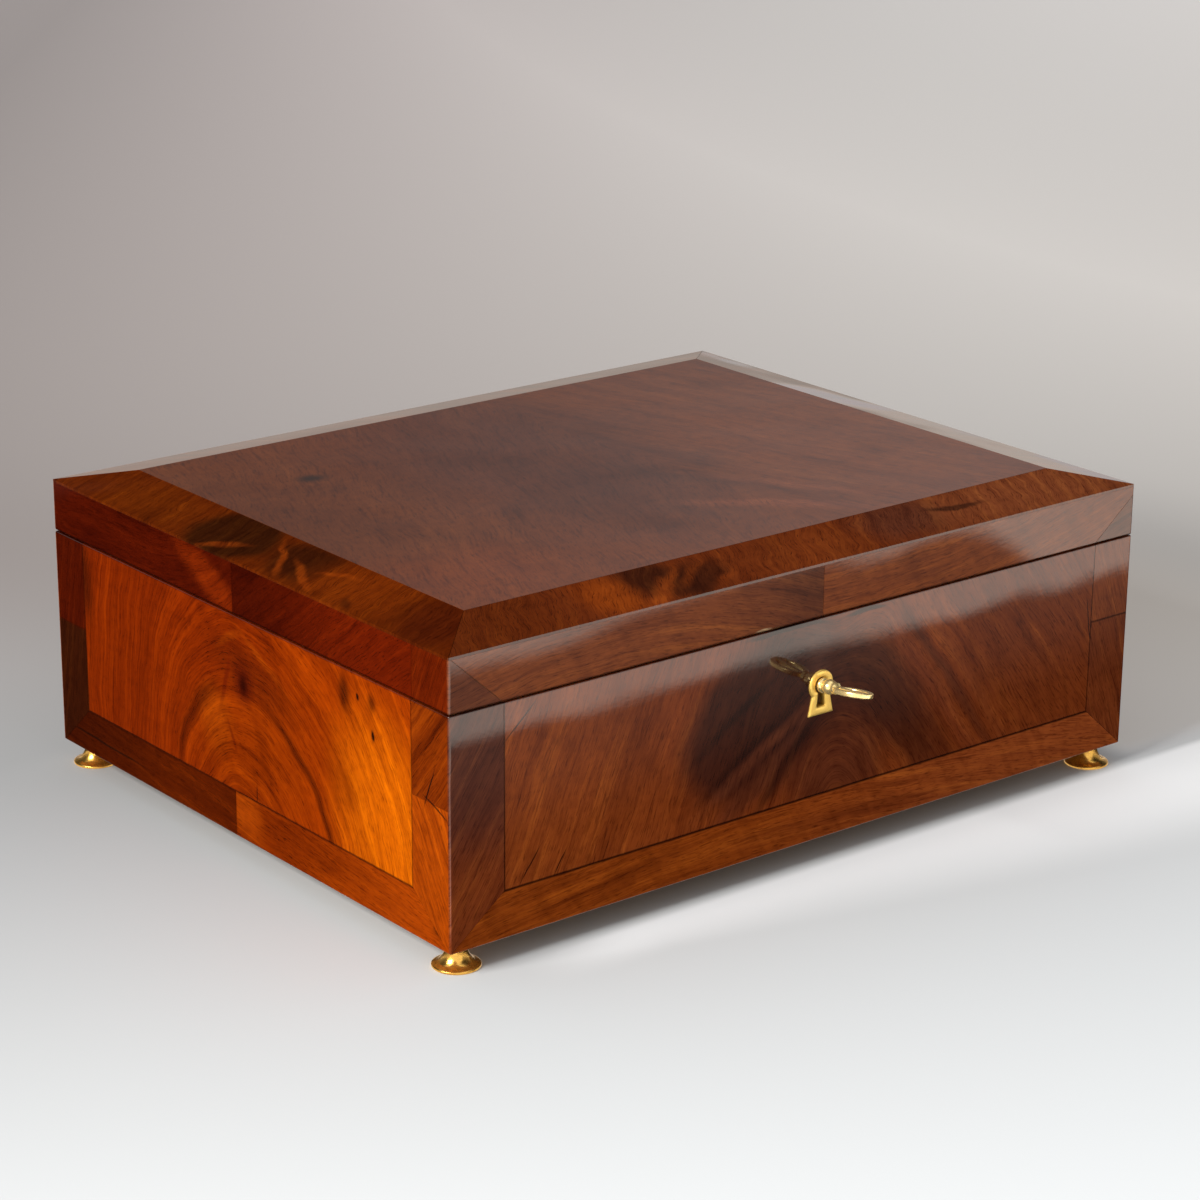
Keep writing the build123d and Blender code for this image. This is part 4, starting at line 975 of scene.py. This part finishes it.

# Painted light on it before the casket and beside it, which glows for the camera alone
light_path = ground.tree.nodes.new("ShaderNodeLightPath")
before = ground.y * -1 - 122
reached = (ground.x + 90).most(0) * 0.25 + 30
sunlight = before.rise(-1, 6, 0.0, 0.3) * (before / reached).rise(0.2, 1.0, 1.0, 0.0)
sunlight = sunlight * ground.x.rise(-150, -90)
wood_glow = ground.x.rise(172, 190, 0.0, 0.13) * ground.x.rise(330, 430, 1.0, 0.0)
wood_glow = wood_glow * ground.y.rise(-130, -110) * ground.y.rise(110, 240, 1.0, 0.0)
distant = away.rise(0.5, 2.4, 0.0, 0.16) * side.rise(-0.2, 0.8)
lift = (sunlight + distant).most(wood_glow)
seen = Grain(ground, light_path.outputs["Is Camera Ray"])
ground.feed(ground.surface.inputs["Emission Strength"], lift * seen)
daylight = (1.0, 0.98, 0.98, 1.0)
beside = ground.x.rise(160, 200) * ground.y.rise(-125, -105)
warm = ground.mix(beside, daylight, (1.0, 0.84, 0.68, 1.0))
glow = ground.mix(away.rise(0.3, 0.6), warm, daylight)
ground.feed(ground.surface.inputs["Emission Color"], glow)

# Painted light in it that only the polish and the brass mirror: a sunlit strip, haze, a far glow, a
# bright corner, and a glow that short rays see
mirrored = ground.tree.nodes.new("ShaderNodeEmission")
sunlit = (ground.y - ground.x * 0.028).rise(-318, -298, 2.5, 0.0)
haze = ground.y.rise(-310, -190, 0.35, 0.01)
far_glow = ground.y.rise(450, 650, 0.0, 0.5) * side.rise(0.45, 0.75, 1.0, 1.6)
corner = ground.x.rise(-195, -185, 2.0, 0.0) * ground.y.rise(-150, -140, 1.0, 0.0)
close = Grain(ground, light_path.outputs["Ray Length"]).rise(0.012, 0.022, 0.8, 0.0)
ground.feed(mirrored.inputs["Strength"], (sunlit + haze + far_glow).most(corner).most(close))
mirrored.inputs["Color"].default_value = (1.0, 0.94, 0.84, 1.0)
chosen = ground.tree.nodes.new("ShaderNodeMixShader")
ground.tree.links.new(light_path.outputs["Is Glossy Ray"], chosen.inputs[0])
ground.tree.links.new(ground.surface.outputs[0], chosen.inputs[1])
ground.tree.links.new(mirrored.outputs[0], chosen.inputs[2])
output = ground.tree.nodes["Material Output"]
ground.tree.links.new(chosen.outputs[0], output.inputs["Surface"])
floor_mesh.materials.append(ground.material)

world = bpy.data.worlds.new("studio")
bpy.context.scene.world = world
world.use_nodes = True
air = world.node_tree
sky = air.nodes["Background"]
sky.inputs["Color"].default_value = (1.0, 0.985, 0.97, 1.0)
sky.inputs["Strength"].default_value = 0.5
mirror = air.nodes.new("ShaderNodeBackground")
where = air.nodes.new("ShaderNodeTexCoord")


def towards(direction, low, high, start, end):
    """A number that depends on how far the reflected ray turns to one direction."""
    dot = air.nodes.new("ShaderNodeVectorMath")
    dot.operation = "DOT_PRODUCT"
    dot.inputs[1].default_value = direction
    air.links.new(where.outputs["Generated"], dot.inputs[0])
    node = air.nodes.new("ShaderNodeMapRange")
    node.interpolation_type = "SMOOTHSTEP"
    for socket, value in zip(node.inputs[1:5], (low, high, start, end)):
        socket.default_value = value
    air.links.new(dot.outputs["Value"], node.inputs[0])
    return node.outputs[0]


def joined(operation, first, second):
    """The product or the larger of two numbers of the sky."""
    node = air.nodes.new("ShaderNodeMath")
    node.operation = operation
    air.links.new(first, node.inputs[0])
    air.links.new(second, node.inputs[1])
    return node.outputs[0]


middle = joined(
    "MULTIPLY",
    towards(up, 0.34, 0.46, 1.0, 0.04),
    towards((ahead_y, -ahead_x, 0), -0.16, 0.16, 0.16, 0.5),
)
low_glow = towards(up, 0.10, 0.24, 1.0, 0.0)
overhead = towards(up, 0.72, 0.9, 0.0, 1.3)
behind = towards((-ahead_x, -ahead_y, 0), 0.4, 0.6, 0.0, 1.3)
brightest = joined(
    "MAXIMUM", joined("MAXIMUM", middle, low_glow), joined("MAXIMUM", overhead, behind)
)
air.links.new(brightest, mirror.inputs["Strength"])
ray = air.nodes.new("ShaderNodeLightPath")
both = air.nodes.new("ShaderNodeMixShader")
air.links.new(ray.outputs["Is Glossy Ray"], both.inputs[0])
air.links.new(sky.outputs[0], both.inputs[1])
air.links.new(mirror.outputs[0], both.inputs[2])
air.links.new(both.outputs[0], air.nodes["World Output"].inputs["Surface"])

lamp = bpy.data.lights.new("soft_lamp", "AREA")
lamp.shape = "RECTANGLE"
lamp.size, lamp.size_y = 0.7, 0.5
lamp.energy = 40
lamp.color = (1.0, 0.96, 0.9)
soft_lamp = bpy.data.objects.new("soft_lamp", lamp)
bpy.context.scene.collection.objects.link(soft_lamp)
soft_lamp.location = (-1.5, -0.12, 1.0)
aim = Vector((0, 0, 0.06)) - soft_lamp.location
soft_lamp.rotation_euler = aim.to_track_quat("-Z", "Y").to_euler()

lens = bpy.data.cameras.new("camera")
lens.lens, lens.sensor_width = 100.28, 36
camera = bpy.data.objects.new("camera", lens)
bpy.context.scene.collection.objects.link(camera)
eye = (-0.8061, -0.9940, 0.5074)
turn, dip, roll = -0.6772, 0.3265, 0.0079
ahead = Vector((-sin(turn) * cos(dip), cos(turn) * cos(dip), -sin(dip)))
level = Vector((cos(turn), sin(turn), 0))
above = level.cross(ahead)
right_way = level * cos(roll) + above * sin(roll)
up_way = above * cos(roll) - level * sin(roll)
camera.matrix_world = Matrix((
    (right_way.x, up_way.x, -ahead.x, eye[0]),
    (right_way.y, up_way.y, -ahead.y, eye[1]),
    (right_way.z, up_way.z, -ahead.z, eye[2]),
    (0, 0, 0, 1),
))
bpy.context.scene.camera = camera
bpy.context.scene.view_settings.view_transform = "Standard"
